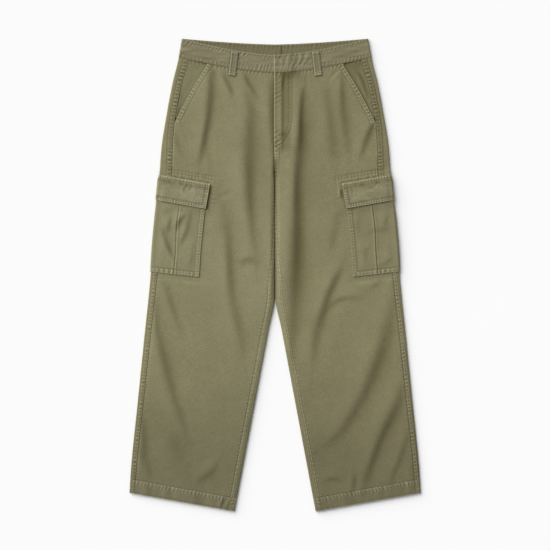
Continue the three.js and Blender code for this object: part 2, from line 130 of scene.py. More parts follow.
# Cross rows, as in the solids: drops from the top of the waistband and heights of both faces
ROW_COLUMNS = ("side", "front", "back", "bow", "curl", "lift", "top", "edge_lift", "edge_top")
FLAT = (0, LOFT, 0, LOFT)
AT_WAIST = (LAYER, WAIST_LOFT, LAYER, WAIST_LOFT)
AT_POCKET = (0, LOFT, LAYER, LAYER + POCKET_LOFT)
AT_FLAP = (0, LOFT, 2 * LAYER, 2 * LAYER + POCKET_LOFT)
ROWS = [
    # name, parts to the next row, side, front, back, bow, curl, heights
    ("waist top", 1, 0, 36.3, 12.8, 1.5, 0, *AT_WAIST),
    ("waist seam", 1, 41, 75, 51, 1.5, 0, *AT_WAIST),
    ("loop end", 4, 61, 94, 71, 1.5, 0, *AT_WAIST),
    ("slant end", 1, 183, 205, 196, 1.4, 0, *FLAT),
    ("fly end", 1, 208, 232, 225, 1.3, 0, *FLAT),
    ("centre seam", 1, 231, 259, 255, 1.2, 0, *FLAT),
    ("crotch", 1, 259, 292.6, 292.6, 1.1, 1, *FLAT),
    ("above flap", 1, 280, 322, 322, 1, 1, *FLAT),
    ("flap top", 2, 299, 344.5, 344.5, 1, 1, *AT_FLAP),
    ("flap end", 1, 355, 401, 401, 1, 1, *AT_FLAP),
    ("below flap", 4, 371, 416, 416, 1, 1, *AT_POCKET),
    ("pocket end", 1, 512, 542.5, 542.5, 1, 1, *AT_POCKET),
    ("below pocket", 11, 532, 562.5, 562.5, 1, 1, *FLAT),
    ("hem seam", 1, 967, 1010, 1010, 1, 1, *FLAT),
    ("hem end", 0, 997.7, LENGTH, LENGTH, 1, 1, *FLAT),
]

# Side fold: drop, half width, and how far the side seam lies in from it on the front
SIDE_FOLD = np.array(
    [
        (0, 204.5, 22),
        (46, 212.5, 23),
        (99, 225.5, 21.5),
        (169, 238.7, 21.5),
        (240, 249.7, 26),
        (290, 253.5, 28),
        (355, 259.8, 23),
        (451, 269, 18.5),
        (521, 273.7, 16),
        (662, 288, 15),
        (803, 302.3, 14.2),
        (944, 316.5, 13.5),
        (998, 320, 13),
    ]
)

# Inner fold of a leg: drop, distance from the centre line, and how far in the inseam lies
INNER_FOLD = np.array(
    [
        (292, 1, 0),
        (322, 0.5, 1.5),
        (344, 0.3, 2.5),
        (464, 0.3, 8),
        (563, 0.3, 18),
        (640, 14.6, 16),
        (LENGTH, 89.2, 16),
    ]
)

# Folds of the front: rise, half width, then the (x, drop) points under the middle of the flank
# that falls away from the light. A ridge stands above it and a trough lies below it.
FOLDS = [
    (3.0, 8, [(-139, 48), (-140, 85), (-142, 125), (-147, 175), (-156, 225), (-168, 285)]),
    (1.0, 6, [(-220, 203), (-217, 225), (-209, 248), (-195, 268)]),
    (0.8, 5, [(-151, 232), (-146, 262), (-143, 292)]),
    (1.7, 6, [(-115, 66), (-110, 88), (-100, 108), (-92, 132)]),
    (2.0, 6, [(-72, 66), (-62, 92), (-50, 112), (-34, 140)]),
    (3.1, 12.5, [(-70, 92), (-60, 128), (-54, 160), (-56, 200), (-59, 260), (-58, 320),
        (-54, 385), (-43, 492)]),
    (1.3, 7, [(-12, 76), (-10, 130), (-9, 170), (-7, 210), (-5, 255)]),
    (4.2, 14, [(52, 96), (57, 130), (58, 165), (57, 210), (52, 260), (48, 320),
        (47, 400), (41, 560), (35, 720)]),
    (2.2, 5.5, [(64, 100), (60.5, 124), (57.5, 150), (56, 180), (55, 214), (52, 250)]),
    (0.7, 6, [(50, 250), (46, 300), (45, 345), (44, 400)]),
    (1.6, 12, [(114, 90), (113, 130), (119, 170), (124, 220), (129, 290)]),
    (2.0, 8, [(147, 70), (147, 110), (149, 155), (155, 205), (163, 255)]),
    (2.4, 6, [(224, 170), (214, 190), (205, 210), (195, 238), (188, 260)]),
    (2.1, 10, [(-121, 344), (-111, 385), (-104, 430), (-101, 480), (-98, 540), (-92, 585),
        (-82, 625), (-66, 715)]),
    (1.4, 6.5, [(-79, 499), (-70, 490), (-59, 485), (-48, 488), (-38, 498)]),
    (1.3, 8, [(-246, 526), (-235, 560), (-225, 592), (-214, 625), (-203, 660)]),
    (2.1, 9.5, [(-264, 550), (-262, 605), (-256, 650), (-245, 700), (-233, 750), (-219, 800),
        (-205, 840), (-190, 885)]),
    (1.4, 7, [(-292, 780), (-292, 850), (-286, 900), (-280, 935), (-273, 975)]),
    (0.9, 5.5, [(-299, 880), (-294, 915), (-287, 945)]),
    (1.2, 16, [(-234, 865), (-219, 905), (-205, 935)]),
    (1.4, 7, [(-174, 977), (-155, 963), (-138, 950), (-123, 928)]),
    (1.3, 11, [(142, 370), (134, 410), (126, 445), (121, 475)]),
    (2.7, 10, [(152, 490), (133, 527), (118, 560), (108, 592), (97, 625), (88, 660), (83, 720)]),
    (1.2, 7, [(116, 594), (134, 577), (160, 569), (198, 572)]),
    (0.9, 6, [(240, 522), (216, 545), (201, 554)]),
    (2.7, 14, [(262, 550), (252, 605), (243, 650), (229, 695), (212, 740), (193, 785),
        (168, 828), (140, 868), (96, 903)]),
    (2.8, 11, [(281, 750), (268, 800), (250, 840), (232, 877), (218, 915), (205, 952), (191, 997)]),
    (1.3, 7.5, [(293, 860), (278, 912), (264, 948), (252, 980)]),
    (1.2, 7, [(102, 973), (128, 967), (154, 974)]),
    (1.3, 6.5, [(172, 948), (173, 970), (170, 996)]),
]
AWAY_FROM_LIGHT = (0.76, 0.65)

# Small creases: depth, half width, then the (x, drop) points that each one runs through
SMALL_CREASES = [
    (0.9, 3.6, [(-140, 66), (-130, 78), (-118, 92)]),
    (0.9, 3.6, [(140, 66), (130, 78), (119, 92)]),
    (0.6, 2.6, [(-215, 182), (-207, 179), (-199, 181)]),
    (0.6, 2.6, [(-217, 186), (-211, 192), (-206, 200)]),
    (0.5, 4, [(-30, 66), (-26, 82), (-20, 96)]),
    (0.5, 4, [(74, 64), (70, 84), (72, 104)]),
    (0.6, 4, [(-206, 196), (-196, 214), (-190, 232)]),
    (0.5, 5, [(-128, 352), (-112, 346), (-92, 338)]),
    (0.5, 5, [(236, 252), (230, 270), (232, 288)]),
]

# Creases of the facings, pocket flaps and hems, as the small ones above
FACING_CREASES = [(1.2, 3.6, [(180, 73), (189, 84), (195, 97), (200, 112), (207, 132)])]
FLAP_CREASES = [
    (0.7, 3.2, [(-190, 317), (-193, 325), (-198, 333), (-194, 340)]),
    (0.7, 3.6, [(-183, 318), (-185, 329), (-191, 337)]),
    (0.6, 3.6, [(-166, 333), (-170, 344), (-176, 354)]),
    (0.6, 3.6, [(-240, 322), (-233, 334), (-222, 342)]),
    (0.6, 3.6, [(166, 326), (170, 335), (170, 346)]),
    (0.5, 4.4, [(226, 318), (214, 328), (198, 334)]),
]
HEM_CREASES = [
    (1.5, 3.2, [(-105.5, 1003), (-111, 1016), (-118, 1034)]),
    (0.7, 6, [(-230, 985), (-224, 1000), (-222, 1016)]),
    (0.8, 7, [(196, 985), (200, 1000), (198, 1012)]),
]

# Folds of the cargo pockets, as for the front
POCKET_FOLDS = [
    (1.7, 5, [(-196, 384), (-203, 394), (-211, 404), (-219, 424)]),
    (1.6, 5.5, [(-184, 378), (-189, 402), (-196, 428), (-209, 455)]),
    (2.0, 5.5, [(-250, 416), (-241, 440), (-233, 462), (-220, 488)]),
    (1.2, 5, [(-228, 386), (-232, 408), (-236, 428)]),
    (0.6, 6, [(-252, 372), (-240, 380), (-226, 378)]),
    (0.6, 7, [(-176, 470), (-184, 490), (-196, 502)]),
    (0.9, 6, [(198, 428), (222, 421), (246, 418), (262, 421)]),
    (0.8, 6, [(252, 386), (244, 402), (240, 414)]),
    (0.7, 7, [(182, 386), (178, 412), (184, 438)]),
    (0.8, 6, [(262, 478), (244, 492), (230, 506)]),
    (0.6, 6, [(205, 455), (198, 476), (202, 500)]),
]

# Middle of the J of the fly
FLY_LINE = [(34.5, 60), (34.5, 120), (34.5, 168), (30.5, 196), (22, 215), (11.5, 228), (2.5, 234)]

# The wearer's sides, and the sign of x there
SIDES = {"left": 1, "right": -1}


def smoothstep(value, start, end):
    t = np.clip((value - start) / (end - start), 0, 1)
    return t * t * (3 - 2 * t)


def mix(a, b, share):
    return a + (b - a) * share


def smooth_column(table, column, at):
    """A column of a table at given drops, on a smooth curve that never overshoots its points."""
    knots = table[:, 0]
    values = table[:, column]
    steps = np.diff(knots)
    secants = np.diff(values) / steps
    slopes = np.zeros(len(knots))
    slopes[0] = secants[0]
    slopes[-1] = secants[-1]
    product = secants[:-1] * secants[1:]
    total = secants[:-1] + secants[1:]
    safe = np.where(product > 0, total, 1)
    slopes[1:-1] = np.where(product > 0, 2 * product / safe, 0)
    at = np.clip(at, knots[0], knots[-1])
    i = np.clip(np.searchsorted(knots, at, side="right") - 1, 0, len(steps) - 1)
    t = (at - knots[i]) / steps[i]
    start = (1 + 2 * t) * (1 - t) ** 2 * values[i] + t * (1 - t) ** 2 * steps[i] * slopes[i]
    end = t * t * (3 - 2 * t) * values[i + 1] + t * t * (t - 1) * steps[i] * slopes[i + 1]
    return start + end


def build_levels():
    """The rows cut into their parts, one array for each column, and the level of each name."""
    cut = []
    level_of = {}
    for i, (name, parts, *values) in enumerate(ROWS):
        level_of[name] = len(cut)
        here = np.array(values, dtype=float)
        following = np.array(ROWS[min(i + 1, len(ROWS) - 1)][2:], dtype=float)
        for part in range(max(parts, 1)):
            cut.append(mix(here, following, part / max(parts, 1)))
    columns = np.array(cut).T
    return dict(zip(ROW_COLUMNS, columns)), level_of


LEVELS, LEVEL_OF = build_levels()
LAST_LEVEL = len(LEVELS["side"]) - 1


def row_at(level):
    level = np.asarray(level, dtype=float)
    index = np.arange(LAST_LEVEL + 1)
    row = SimpleNamespace(**{k: np.interp(level, index, v) for k, v in LEVELS.items()})
    row.is_leg = level >= LEVEL_OF["crotch"]
    row.outer_x = smooth_column(SIDE_FOLD, 1, row.side)
    row.side_seam = smooth_column(SIDE_FOLD, 2, row.side)
    row.inner_x = np.where(row.is_leg, smooth_column(INNER_FOLD, 1, row.front), 0)
    row.inseam = np.where(row.is_leg, smooth_column(INNER_FOLD, 2, row.front), 0)
    row.outer_radius = (row.edge_top - row.edge_lift) / 2
    row.inner_radius = row.curl * (row.top - row.lift) / 2
    row.outer_arc = row.outer_radius * math.pi / 2
    row.inner_arc = row.inner_radius * math.pi / 2
    flat = row.outer_x - row.outer_radius - row.inner_x - row.inner_radius
    row.length = row.outer_arc + flat + row.inner_arc
    return row


def side_at(name):
    """Drop of a named row at the side."""
    return LEVELS["side"][LEVEL_OF[name]]


def level_at(name, shift=0.0):
    """The level that lies `shift` millimetres below a named row at the side."""
    side = LEVELS["side"]
    return float(np.interp(side_at(name) + shift, side, np.arange(len(side))))


def fine_levels(start, end, spacing):
    """Levels between two levels, evenly spaced along the side."""
    side = LEVELS["side"]
    index = np.arange(len(side))
    first, last = np.interp([start, end], index, side)
    count = max(2, int(round((last - first) / spacing)) + 1)
    return np.interp(np.linspace(first, last, count), side, index)


def drop_on_row(row, x, is_front):
    inward = np.clip((row.outer_x - np.abs(x)) / (row.outer_x - row.inner_x), 0, 1)
    share = 1 - (1 - inward) ** row.bow
    return mix(row.side, np.where(is_front, row.front, row.back), share)


def place(level, along, sign):
    """Where points lie on the garment's outer face, and which way out is, there."""
    level, along = np.broadcast_arrays(np.asarray(level, float), np.asarray(along, float))
    row = row_at(level)
    reach = np.abs(along)
    past_fold = row.is_leg & (reach > row.length)
    is_front = (along >= 0) ^ past_fold
    reach = np.where(past_fold, 2 * row.length - reach, reach)
    up = np.where(is_front, 1.0, -1.0)
    inner_end = row.length - row.inner_arc
    outer_angle = np.clip(reach / row.outer_radius, 0, math.pi / 2)
    inner_angle = np.clip((reach - inner_end) / np.maximum(row.inner_radius, 1e-6), 0, math.pi / 2)
    at_outer = reach < row.outer_arc
    at_inner = (reach > inner_end) & (row.inner_radius > 1e-3)
    past = np.maximum(0, reach - row.length)
    x = row.outer_x - row.outer_radius - (reach - row.outer_arc)
    x = np.where(at_outer, row.outer_x - row.outer_radius * (1 - np.cos(outer_angle)), x)
    turned = row.inner_x + row.inner_radius * (1 - np.sin(inner_angle)) - past
    x = np.where(at_inner, turned, x)
    plain = np.clip((reach - FRONT_EDGE_ZONE[0]) / np.ptp(FRONT_EDGE_ZONE), 0, 1)
    under = np.clip((reach - BACK_EDGE_ZONE[0]) / np.ptp(BACK_EDGE_ZONE), 0, 1)
    front_z = mix(row.edge_top, row.top, plain)
    back_z = mix(row.edge_lift, row.lift, under)
    z = np.where(is_front, front_z, back_z)
    fold_z = (row.edge_top + row.edge_lift) / 2 + row.outer_radius * up * np.sin(outer_angle)
    z = np.where(at_outer, fold_z, z)
    inner_z = np.where(is_front, row.top, row.lift) - up * row.inner_radius * (1 - np.cos(inner_angle))
    z = np.where(at_inner, inner_z, z)
    out_x = np.where(at_outer, np.cos(outer_angle), np.where(at_inner, -np.sin(inner_angle), 0))
    out_z = up * np.where(at_outer, np.sin(outer_angle), np.where(at_inner, np.cos(inner_angle), 1))
    drop = drop_on_row(row, x, is_front)
    return SimpleNamespace(
        level=level,
        along=along,
        reach=reach,
        to_inner=row.length - reach,
        from_centre=row.length - along,
        row=row,
        side=row.side,
        from_waist=row.side - side_at("waist seam"),
        is_front=is_front,
        sign=sign,
        x=sign * x,
        drop=drop,
        base=np.stack([sign * x, LENGTH / 2 - drop, z], axis=-1),
        out=np.stack([sign * out_x, np.zeros_like(x), out_z], axis=-1),
    )


def reach_to(level, x):
    """Distance from the side fold to a given x on the flat of a row."""
    row = row_at(level)
    return row.outer_x - row.outer_radius - x + row.outer_arc


def locate(x, drop, is_front=True):
    """Level and distance along of points given by |x| and drop."""
    candidates = np.linspace(0, LAST_LEVEL, 700)
    row = row_at(candidates)
    levels = [np.interp(d, drop_on_row(row, a, is_front), candidates) for a, d in zip(x, drop)]
    levels = np.array(levels)
    return levels, reach_to(levels, np.asarray(x, float))


def spline(points, count=28):
    """A smooth curve through a few points."""
    p = np.array(points, float)
    p = np.vstack([2 * p[0] - p[1], p, 2 * p[-1] - p[-2]])
    curve = []
    for i in range(1, len(p) - 2):
        t = np.linspace(0, 1, max(3, count // (len(p) - 3)), endpoint=False)[:, None]
        a = 2 * p[i]
        b = p[i + 1] - p[i - 1]
        c = 2 * p[i - 1] - 5 * p[i] + 4 * p[i + 1] - p[i + 2]
        d = -p[i - 1] + 3 * p[i] - 3 * p[i + 1] + p[i + 2]
        curve.append((a + b * t + c * t**2 + d * t**3) / 2)
    curve.append(p[-2][None])
    return np.vstack(curve)


def along_curve(x, drop, points, margin, count=40):
    """The points near a smooth curve: how far off and how far along it they are, and their side."""
    curve = spline(points, count)
    spans = np.diff(curve, axis=0)
    lengths = np.linalg.norm(spans, axis=1)
    passed = np.concatenate([[0], np.cumsum(lengths)])
    low = curve.min(axis=0) - margin
    high = curve.max(axis=0) + margin
    near = (x > low[0]) & (x < high[0]) & (drop > low[1]) & (drop < high[1])
    spots = np.stack([x[near], drop[near]], axis=-1)
    gap = np.full(len(spots), FAR)
    along = np.zeros(len(spots))
    side = np.ones(len(spots))
    for start, span, length, before in zip(curve, spans, lengths, passed):
        rel = spots - start
        t = np.clip(rel @ span / length**2, 0, 1)
        here = np.linalg.norm(rel - t[:, None] * span, axis=1)
        closer = here < gap
        gap = np.where(closer, here, gap)
        along = np.where(closer, before + t * length, along)
        side = np.where(closer, np.sign(rel[:, 0] * span[1] - rel[:, 1] * span[0]), side)
    chord = curve[-1] - curve[0]
    return SimpleNamespace(near=near, gap=gap, along=along, side=side, length=passed[-1], chord=chord)


def crease_field(x, drop, creases):
    """Height of soft troughs with low shoulders, one for each row of a crease table."""
    height = np.zeros_like(x)
    for number, (depth, width, points) in enumerate(creases):
        line = along_curve(x, drop, points, 3.4 * width, 28)
        taper = np.sin(math.pi * np.clip(line.along / line.length, 0.02, 0.98)) ** 0.55
        uneven = 0.86 + 0.14 * np.sin(line.along / (2.3 * width) + 1.7 * number)
        local = width * (0.8 + 0.3 * np.sin(line.along / (5.1 * width) + number))
        q = line.gap / local
        lean = 0.5 + 0.16 * line.side * (1 if number % 2 else -1)
        profile = lean * np.exp(-(((q - 1.9) / 0.85) ** 2)) - np.exp(-q * q)
        height[line.near] += depth * taper * uneven * profile
    return height


def fold_field(x, drop, folds):
    """Height of the placed folds, and painted shade along the flank of each that falls away from the light.
    """
    height = np.zeros_like(x)
    painted_fold_shade = np.zeros_like(x)
    for number, (rise, width, points) in enumerate(folds):
        line = along_curve(x, drop, points, 7 * width)
        away = line.chord[0] * AWAY_FROM_LIGHT[1] - line.chord[1] * AWAY_FROM_LIGHT[0]
        taper = np.sin(math.pi * np.clip(line.along / line.length, 0.015, 0.985)) ** 0.7
        uneven = 0.88 + 0.12 * np.sin(line.along / (3.1 * width) + 1.7 * number)
        local = width * (1 + 0.16 * np.sin(line.along / (4.3 * width) + number)) * mix(0.8, 1, taper)
        q = (-1 if away > 0 else 1) * line.side * line.gap / local
        size = rise * taper * uneven
        height[line.near] -= size * np.tanh(1.3 * q) * np.exp(-((q / 3.2) ** 2))
        # Painted shade on the flank that falls away from the light.
        painted_fold_shade[line.near] += size * np.exp(-((q - 0.2) ** 2) / 1.3)
    return height, painted_fold_shade


def waves(x, y, shortest, longest, count, seed):
    """Seeded smooth unevenness with a size of about one."""
    random = np.random.default_rng(seed)
    total = np.zeros_like(x)
    for _ in range(count):
        angle = random.uniform(0, 2 * math.pi)
        size = random.uniform(shortest, longest)
        phase = random.uniform(0, 2 * math.pi)
        total += np.sin((x * math.cos(angle) + y * math.sin(angle)) * 2 * math.pi / size + phase)
    return total / math.sqrt(count)


def ladder(distance, period, seed):
    """Uneven puckers along a seam, from -1 to 1."""
    phase = 2 * math.pi * distance / period
    phase = phase + 0.7 * np.sin(phase / 5.3 + seed) + 0.45 * np.sin(phase / 3.1 + 2 * seed)
    strength = 0.72 + 0.28 * np.sin(phase / 7.7 + 3 * seed)
    wave = 0.5 + 0.5 * np.sin(phase)
    return strength * (2 * wave**1.35 - 0.85)


def fall(value, start, end):
    return 1 - smoothstep(value, start, end)


def window(value, start, end, soft):
    """1 between two values, with soft ends."""
    opened = smoothstep(value, start - soft / 2, start + soft / 2)
    return opened * fall(value, end - soft / 2, end + soft / 2)


def groove(distance, width=0.9):
    return np.exp(-((distance / width) ** 2))


def lines(distance, *given):
    """Soft lines across a distance, each given as its strength, place and width."""
    return sum(strength * groove(distance - place, width) for strength, place, width in given)


def by_side(spot, left, right):
    return left if spot.sign > 0 else right


def opening_reach(level):
    """The front panel's outer edge: the slant opening, then the side seam."""
    row = row_at(level)
    top = side_at("waist seam")
    end = side_at("slant end")
    down = np.clip((row.side - top) / (end - top), 0, 1)
    return mix(OPENING_AT_WAIST, row.side_seam, down)


def front_inner_edge(level, is_left):
    """The front panel's edge at the fly, the centre seam and the inseam."""
    row = row_at(level)
    tuck = np.interp(level, [LEVEL_OF["slant end"], LEVEL_OF["fly end"]], [FLY_TUCK, -FLY_OVERLAP - GAP])
    closing = np.clip(level - LEVEL_OF["centre seam"], 0, 1)
    centre = row.length + mix(FLY_OVERLAP if is_left else tuck, -GAP, closing)
    return np.where(row.is_leg, row.length - row.inseam - HALF_GAP, centre)


def flap_edge(side):
    """How far a flap reaches in from the side fold, at a drop along the side."""
    top = side_at("flap top") + GAP
    end = side_at("flap end") - GAP
    return mix(FLAP_TOP_FRONT, FLAP_END_FRONT, np.clip((side - top) / (end - top), 0, 1))


def side_band(side):
    """Width of the felled side seam at a drop along the side."""
    return np.interp(side, [250, 520], [SEAM_BAND, LOW_SEAM_BAND])


# Outer faces, as offsets from the garment's surface. Each also gives a tone: above 0 the cloth is
# lighter, from real fading on worn ridges and seams and from painted highlight on some edges; below 0
# it is darker, mostly painted shade in folds, grooves, recesses and beside raised parts.


def plain_relief(spot):
    """Folds and unevenness of the front, calm at the edges and under the pockets, and its tone."""
    row = spot.row
    folds, painted_fold_shade = fold_field(spot.x, spot.drop, FOLDS)
    height = folds + crease_field(spot.x, spot.drop, SMALL_CREASES)
    height += 0.32 * waves(spot.x, spot.drop, 60, 150, 14, 3) + 0.05 * waves(spot.x, spot.drop, 12, 30, 26, 5)
    under_pocket = smoothstep(row.edge_lift - row.lift, 0, 0.8)
    clear = mix(1, smoothstep(spot.reach, 108, 136), under_pocket)
    calm = smoothstep(spot.reach, 5, 24) * mix(1, smoothstep(spot.to_inner, 2, 14), row.curl)
    calm = calm * clear * mix(0.25, 1, smoothstep(spot.side, 42, 64))
    height = np.maximum(height * calm + puff(spot) * clear, 2 * PLY + 0.25 - row.top)
    # Tone: painted shade in the folds' shaded flanks and deep between the legs, and painted shade over the
    # half at x > 0, where the light falls off; a little lighter on fold ridges. Then lighter between drops
    # 370 and 590, and darker just beside the centre line at x > 0.
    tone = (0.05 * folds - 0.16 * painted_fold_shade) * calm + painted_valley_shade(spot) - 0.1 * smoothstep(spot.x, 0, 70)
    return height, tone + 0.06 * window(spot.drop, 370, 590, 90) - 0.06 * window(spot.x, 8, 34, 8)


def puff(spot):
    """The leg stands up from its two folds, more so where the legs touch."""
    inner = mix(1, smoothstep(spot.to_inner, 1, 13), spot.row.curl)
    rise = 1.3 + 0.9 * fall(spot.side, 520, 640) * fall(spot.to_inner, 30, 90) * spot.row.curl
    return rise * smoothstep(spot.reach, 4, 26) * inner * smoothstep(spot.side, 50, 110)


def painted_valley_shade(spot):
    """Painted shade on the cloth that lies deep between the legs and at the crotch."""
    below_seam = smoothstep(spot.row.front, 250, 285) * fall(spot.row.front, 560, 600)
    deep = lines(spot.x, (by_side(spot, 0.28, 0.55), 0, 6.5), (0.45, 0, 3))
    crotch = groove(spot.x + 0.5, 3.6) * window(spot.drop, 262, 306, 18)
    return -below_seam * deep - 0.8 * crotch


def felled(inset, along, width, period, seed, shade=0.0, swing=0.6, strength=1.0):
    """Height and tone of a sewn band: puckers across it, a stitch row near each edge."""
    inside = window(inset, 0, width, 1.3)
    rungs = strength * ladder(along, period, seed) * window(inset, 0.8, width - 0.8, 2)
    height = 0.7 * inside + 0.45 * rungs - lines(inset, (0.3, 2, 0.8), (0.3, width - 2, 0.8))
    # Tone: lighter worn rims and rung crests, painted shade in the rung hollows, and painted shade in a line
    # just outside each edge of the raised band.
    rims = lines(inset, (0.2, 0.4, 0.9), (0.2, width - 0.4, 0.9))
    beside = lines(inset, (0.45, -1.5, 1.1), (0.45, width + 1.5, 1.1))
    return height, shade * inside + swing * rungs + rims - beside


def front_surface(spot):
    """A front panel: the slant opening's band, puckered seams, the fly and the pocket's backing."""
    height, tone = plain_relief(spot)
    edge = spot.along - opening_reach(spot.level)
    slant = fall(spot.side, 178, 186)
    seam = 1 - slant
    height = height * mix(1, smoothstep(edge, 2, 16), slant)
    along_band = 1.16 * spot.drop - 0.45 * edge
    raised, band_tone = felled(edge, along_band, SLANT_BAND, 7.9, 1.3 + spot.sign, -0.02, 0.46)
    pucker = ladder(spot.drop + 0.25 * edge, 6.3, 2.3 + spot.sign)
    height += slant * raised + seam * (0.25 * pucker * window(edge, -2, 6, 3) - 0.6 * groove(edge, 1.4))
    tone += slant * (band_tone + 0.35 * groove(edge - 0.4, 0.9))
    # Painted shade in the side seam's groove, lighter on the pucker crests beside it.
    tone -= seam * (0.4 * groove(edge, 1.2) - 0.2 * pucker * window(edge, 0, 7, 4))
    tone += seam * 0.35 * groove(edge - 2, 1.1) * fall(spot.side, 250, 285)
    inner = front_inner_edge(spot.level, spot.sign > 0) - spot.along
    pucker = ladder(spot.drop, 7.1, 4.4 + spot.sign)
    parted = mix(0.3, 1, smoothstep(spot.side, 440, 560)) * groove(inner, 1.3)
    height -= spot.row.is_leg * (0.3 * parted - 0.15 * window(inner, -2, 5, 3) * pucker)
    # Painted shade where the legs part along the inseam, lighter on the pucker crests.
    tone -= spot.row.is_leg * (0.12 * parted - 0.3 * window(inner, 0, 4, 3) * pucker)
    pucker = ladder(spot.x + 0.3 * spot.from_waist, 8.2, 2.2) * window(spot.from_waist, -3, 8, 7)
    height += 0.45 * pucker
    # Painted shadow in a line under the waistband, lighter on the pucker crests.
    tone += 0.35 * pucker - 0.5 * groove(spot.from_waist, 2.2)
    to_hem = side_at("hem seam") - spot.side
    pucker = ladder(spot.x + 0.8 * to_hem, 8.4, 0.7) * window(to_hem, -4, 5, 5)
    height += 0.25 * pucker
    # Painted shadow in a line just above the hem.
    tone += 0.12 * pucker - 0.35 * groove(to_hem - 0.6, 1.5)
    for extra_height, extra_tone in (fly_surface(spot), backing_surface(spot)):
        height += extra_height
        tone += extra_tone
    return height, tone


def backing_surface(spot):
    """Light puckers along the stitched outline of the pocket's backing, and shade round the flap."""
    top = side_at("flap top")
    above = top - BACKING_RISE - spot.side
    beyond = spot.along - FLAP_TOP_FRONT - BACKING_MARGIN
    across = window(above, -6, 6, 6) * window(spot.along, 12, FLAP_TOP_FRONT + BACKING_MARGIN, 8)
    down = window(beyond, -5, 5, 5) * window(spot.side, top - BACKING_RISE, top + 44, 8)
    pucker = across * ladder(spot.along, 7.4, 1.7) + 0.4 * down * ladder(spot.side, 9, 2.9)
    rows = across * groove(above, 1.1) + down * groove(beyond, 1.1)
    outer_rows = across * groove(above - 5.4, 1.1) + down * groove(beyond - 5, 1.1)
    # Painted shade in the grooves of the outline's stitch rows, lighter on the pucker crests.
    tone = 0.42 * pucker - 0.45 * rows - 0.3 * outer_rows
    # Painted shadow in a line just above the flap's top edge.
    above_flap = groove(top - 2 - spot.side, 2.2) * window(spot.along, 4, FLAP_TOP_FRONT, 6)
    tone -= above_flap * (0.5 + 0.3 * ladder(spot.along, 17, 4.1))
    # Painted shadow beside the flap's inner edge, stronger at x < 0.
    beside_flap = spot.along - flap_edge(spot.side) + NARROWER[spot.sign]
    flap_shade = by_side(spot, 0.4, 1.1) * window(spot.side, top + 4, top + 56, 6)
    tone -= flap_shade * groove(beside_flap - 2, 3)
    # At x > 0: a painted light line and painted shadow beside the flap's inner edge.
    if spot.sign > 0:
        tone += 0.45 * groove(spot.x - 138.5, 1.3) * window(spot.drop, 321, 347, 5)
        tone -= 0.9 * groove(spot.x - 145.5, 2.6) * window(spot.drop, 332, 350, 7)
    return 0.25 * pucker - 0.35 * rows, tone


def fly_surface(spot):
    """The left front steps up over the zip, with a stitched J and a felled seam below it."""
    inward = spot.from_centre
    below = window(spot.level, LEVEL_OF["fly end"] + 0.3, LEVEL_OF["crotch"] + 0.2, 0.5)
    if spot.sign < 0:
        # Painted shadow beside the left front's overlap, and painted shade in the valley beside the fly.
        beside = groove(inward - FLY_OVERLAP, 1.6)
        valley = window(spot.drop, 84, 262, 50) * lines(inward, (0.3, 7, 4.5), (0.6, 3.4, 1.9))
        return -0.5 * below * beside, -0.4 * beside * (spot.level < LEVEL_OF["crotch"]) - valley
    above = fall(spot.level, LEVEL_OF["fly end"] + 0.1, LEVEL_OF["centre seam"] - 0.1)
    lift = band_rise(spot) * fall(spot.from_waist, 1, 20)
    rise = np.maximum(LAYER * fall(inward, *FLY_STEP) * above, lift)
    uneven = 1 - 0.75 * window(spot.drop, 140, 198, 22)
    pucker = ladder(spot.drop + 0.55 * inward, 10.5, 5.2) * uneven * window(inward, -3, 14, 4)
    patch = window(inward, 1, 13, 5) * window(spot.drop, 142, 198, 26)
    seam_height, seam_tone = felled(inward + 1, spot.drop, 9, 6.4, 0.4, 0.05, 0.4)
    line = along_curve(spot.x, spot.drop, FLY_LINE, 25)
    to_line = np.full_like(spot.x, FAR)
    to_line[line.near] = line.gap
    by_line = smoothstep(-to_line, -5, -3)
    rows = groove(to_line - FLY_ROW, 1.0)
    turned = by_line * ladder(spot.drop - 0.6 * spot.x, 6.4, 3.1)
    height = 0.45 * groove(inward - 12.5, 2.6) + 0.35 * pucker + 0.25 * turned - 0.5 * rows + 0.25 * by_line
    seam_at = 15.5 + 3.5 * fall(spot.drop, 76, 118)
    seam_share = mix(0.32, 0.85, fall(spot.drop, 92, 124))
    seam_width = mix(1.3, 2.4, fall(spot.drop, 90, 124))
    # Stitch rows darker: painted shade in their grooves; lighter on pucker crests and on a patch of the
    # strip.
    tone = 0.22 * pucker + 0.2 * patch + 0.4 * turned - 0.62 * rows
    # Painted highlight on the overlap's edge, and painted shade beside it and at the step where the surface
    # drops.
    tone += lines(inward, (0.85, -1.2, 1.1), (-0.2, 2.4, 1.6), (-seam_share, seam_at, seam_width))
    # Painted shade over the fly.
    tone -= 0.14 * window(inward, 17, 31, 5) + 0.26 * window(inward, -2, 36, 5)
    tone = above * tone + below * seam_tone
    # Painted shade in a soft patch by the foot of the J, and painted shadow under the waistband's lapped end.
    tone -= 0.35 * groove(spot.x - 19, 9) * groove(spot.drop - 212, 9)
    tone -= 0.4 * groove(spot.drop - 74, 13) * window(inward, 16, 56, 16)
    return rise + above * height + below * seam_height, tone


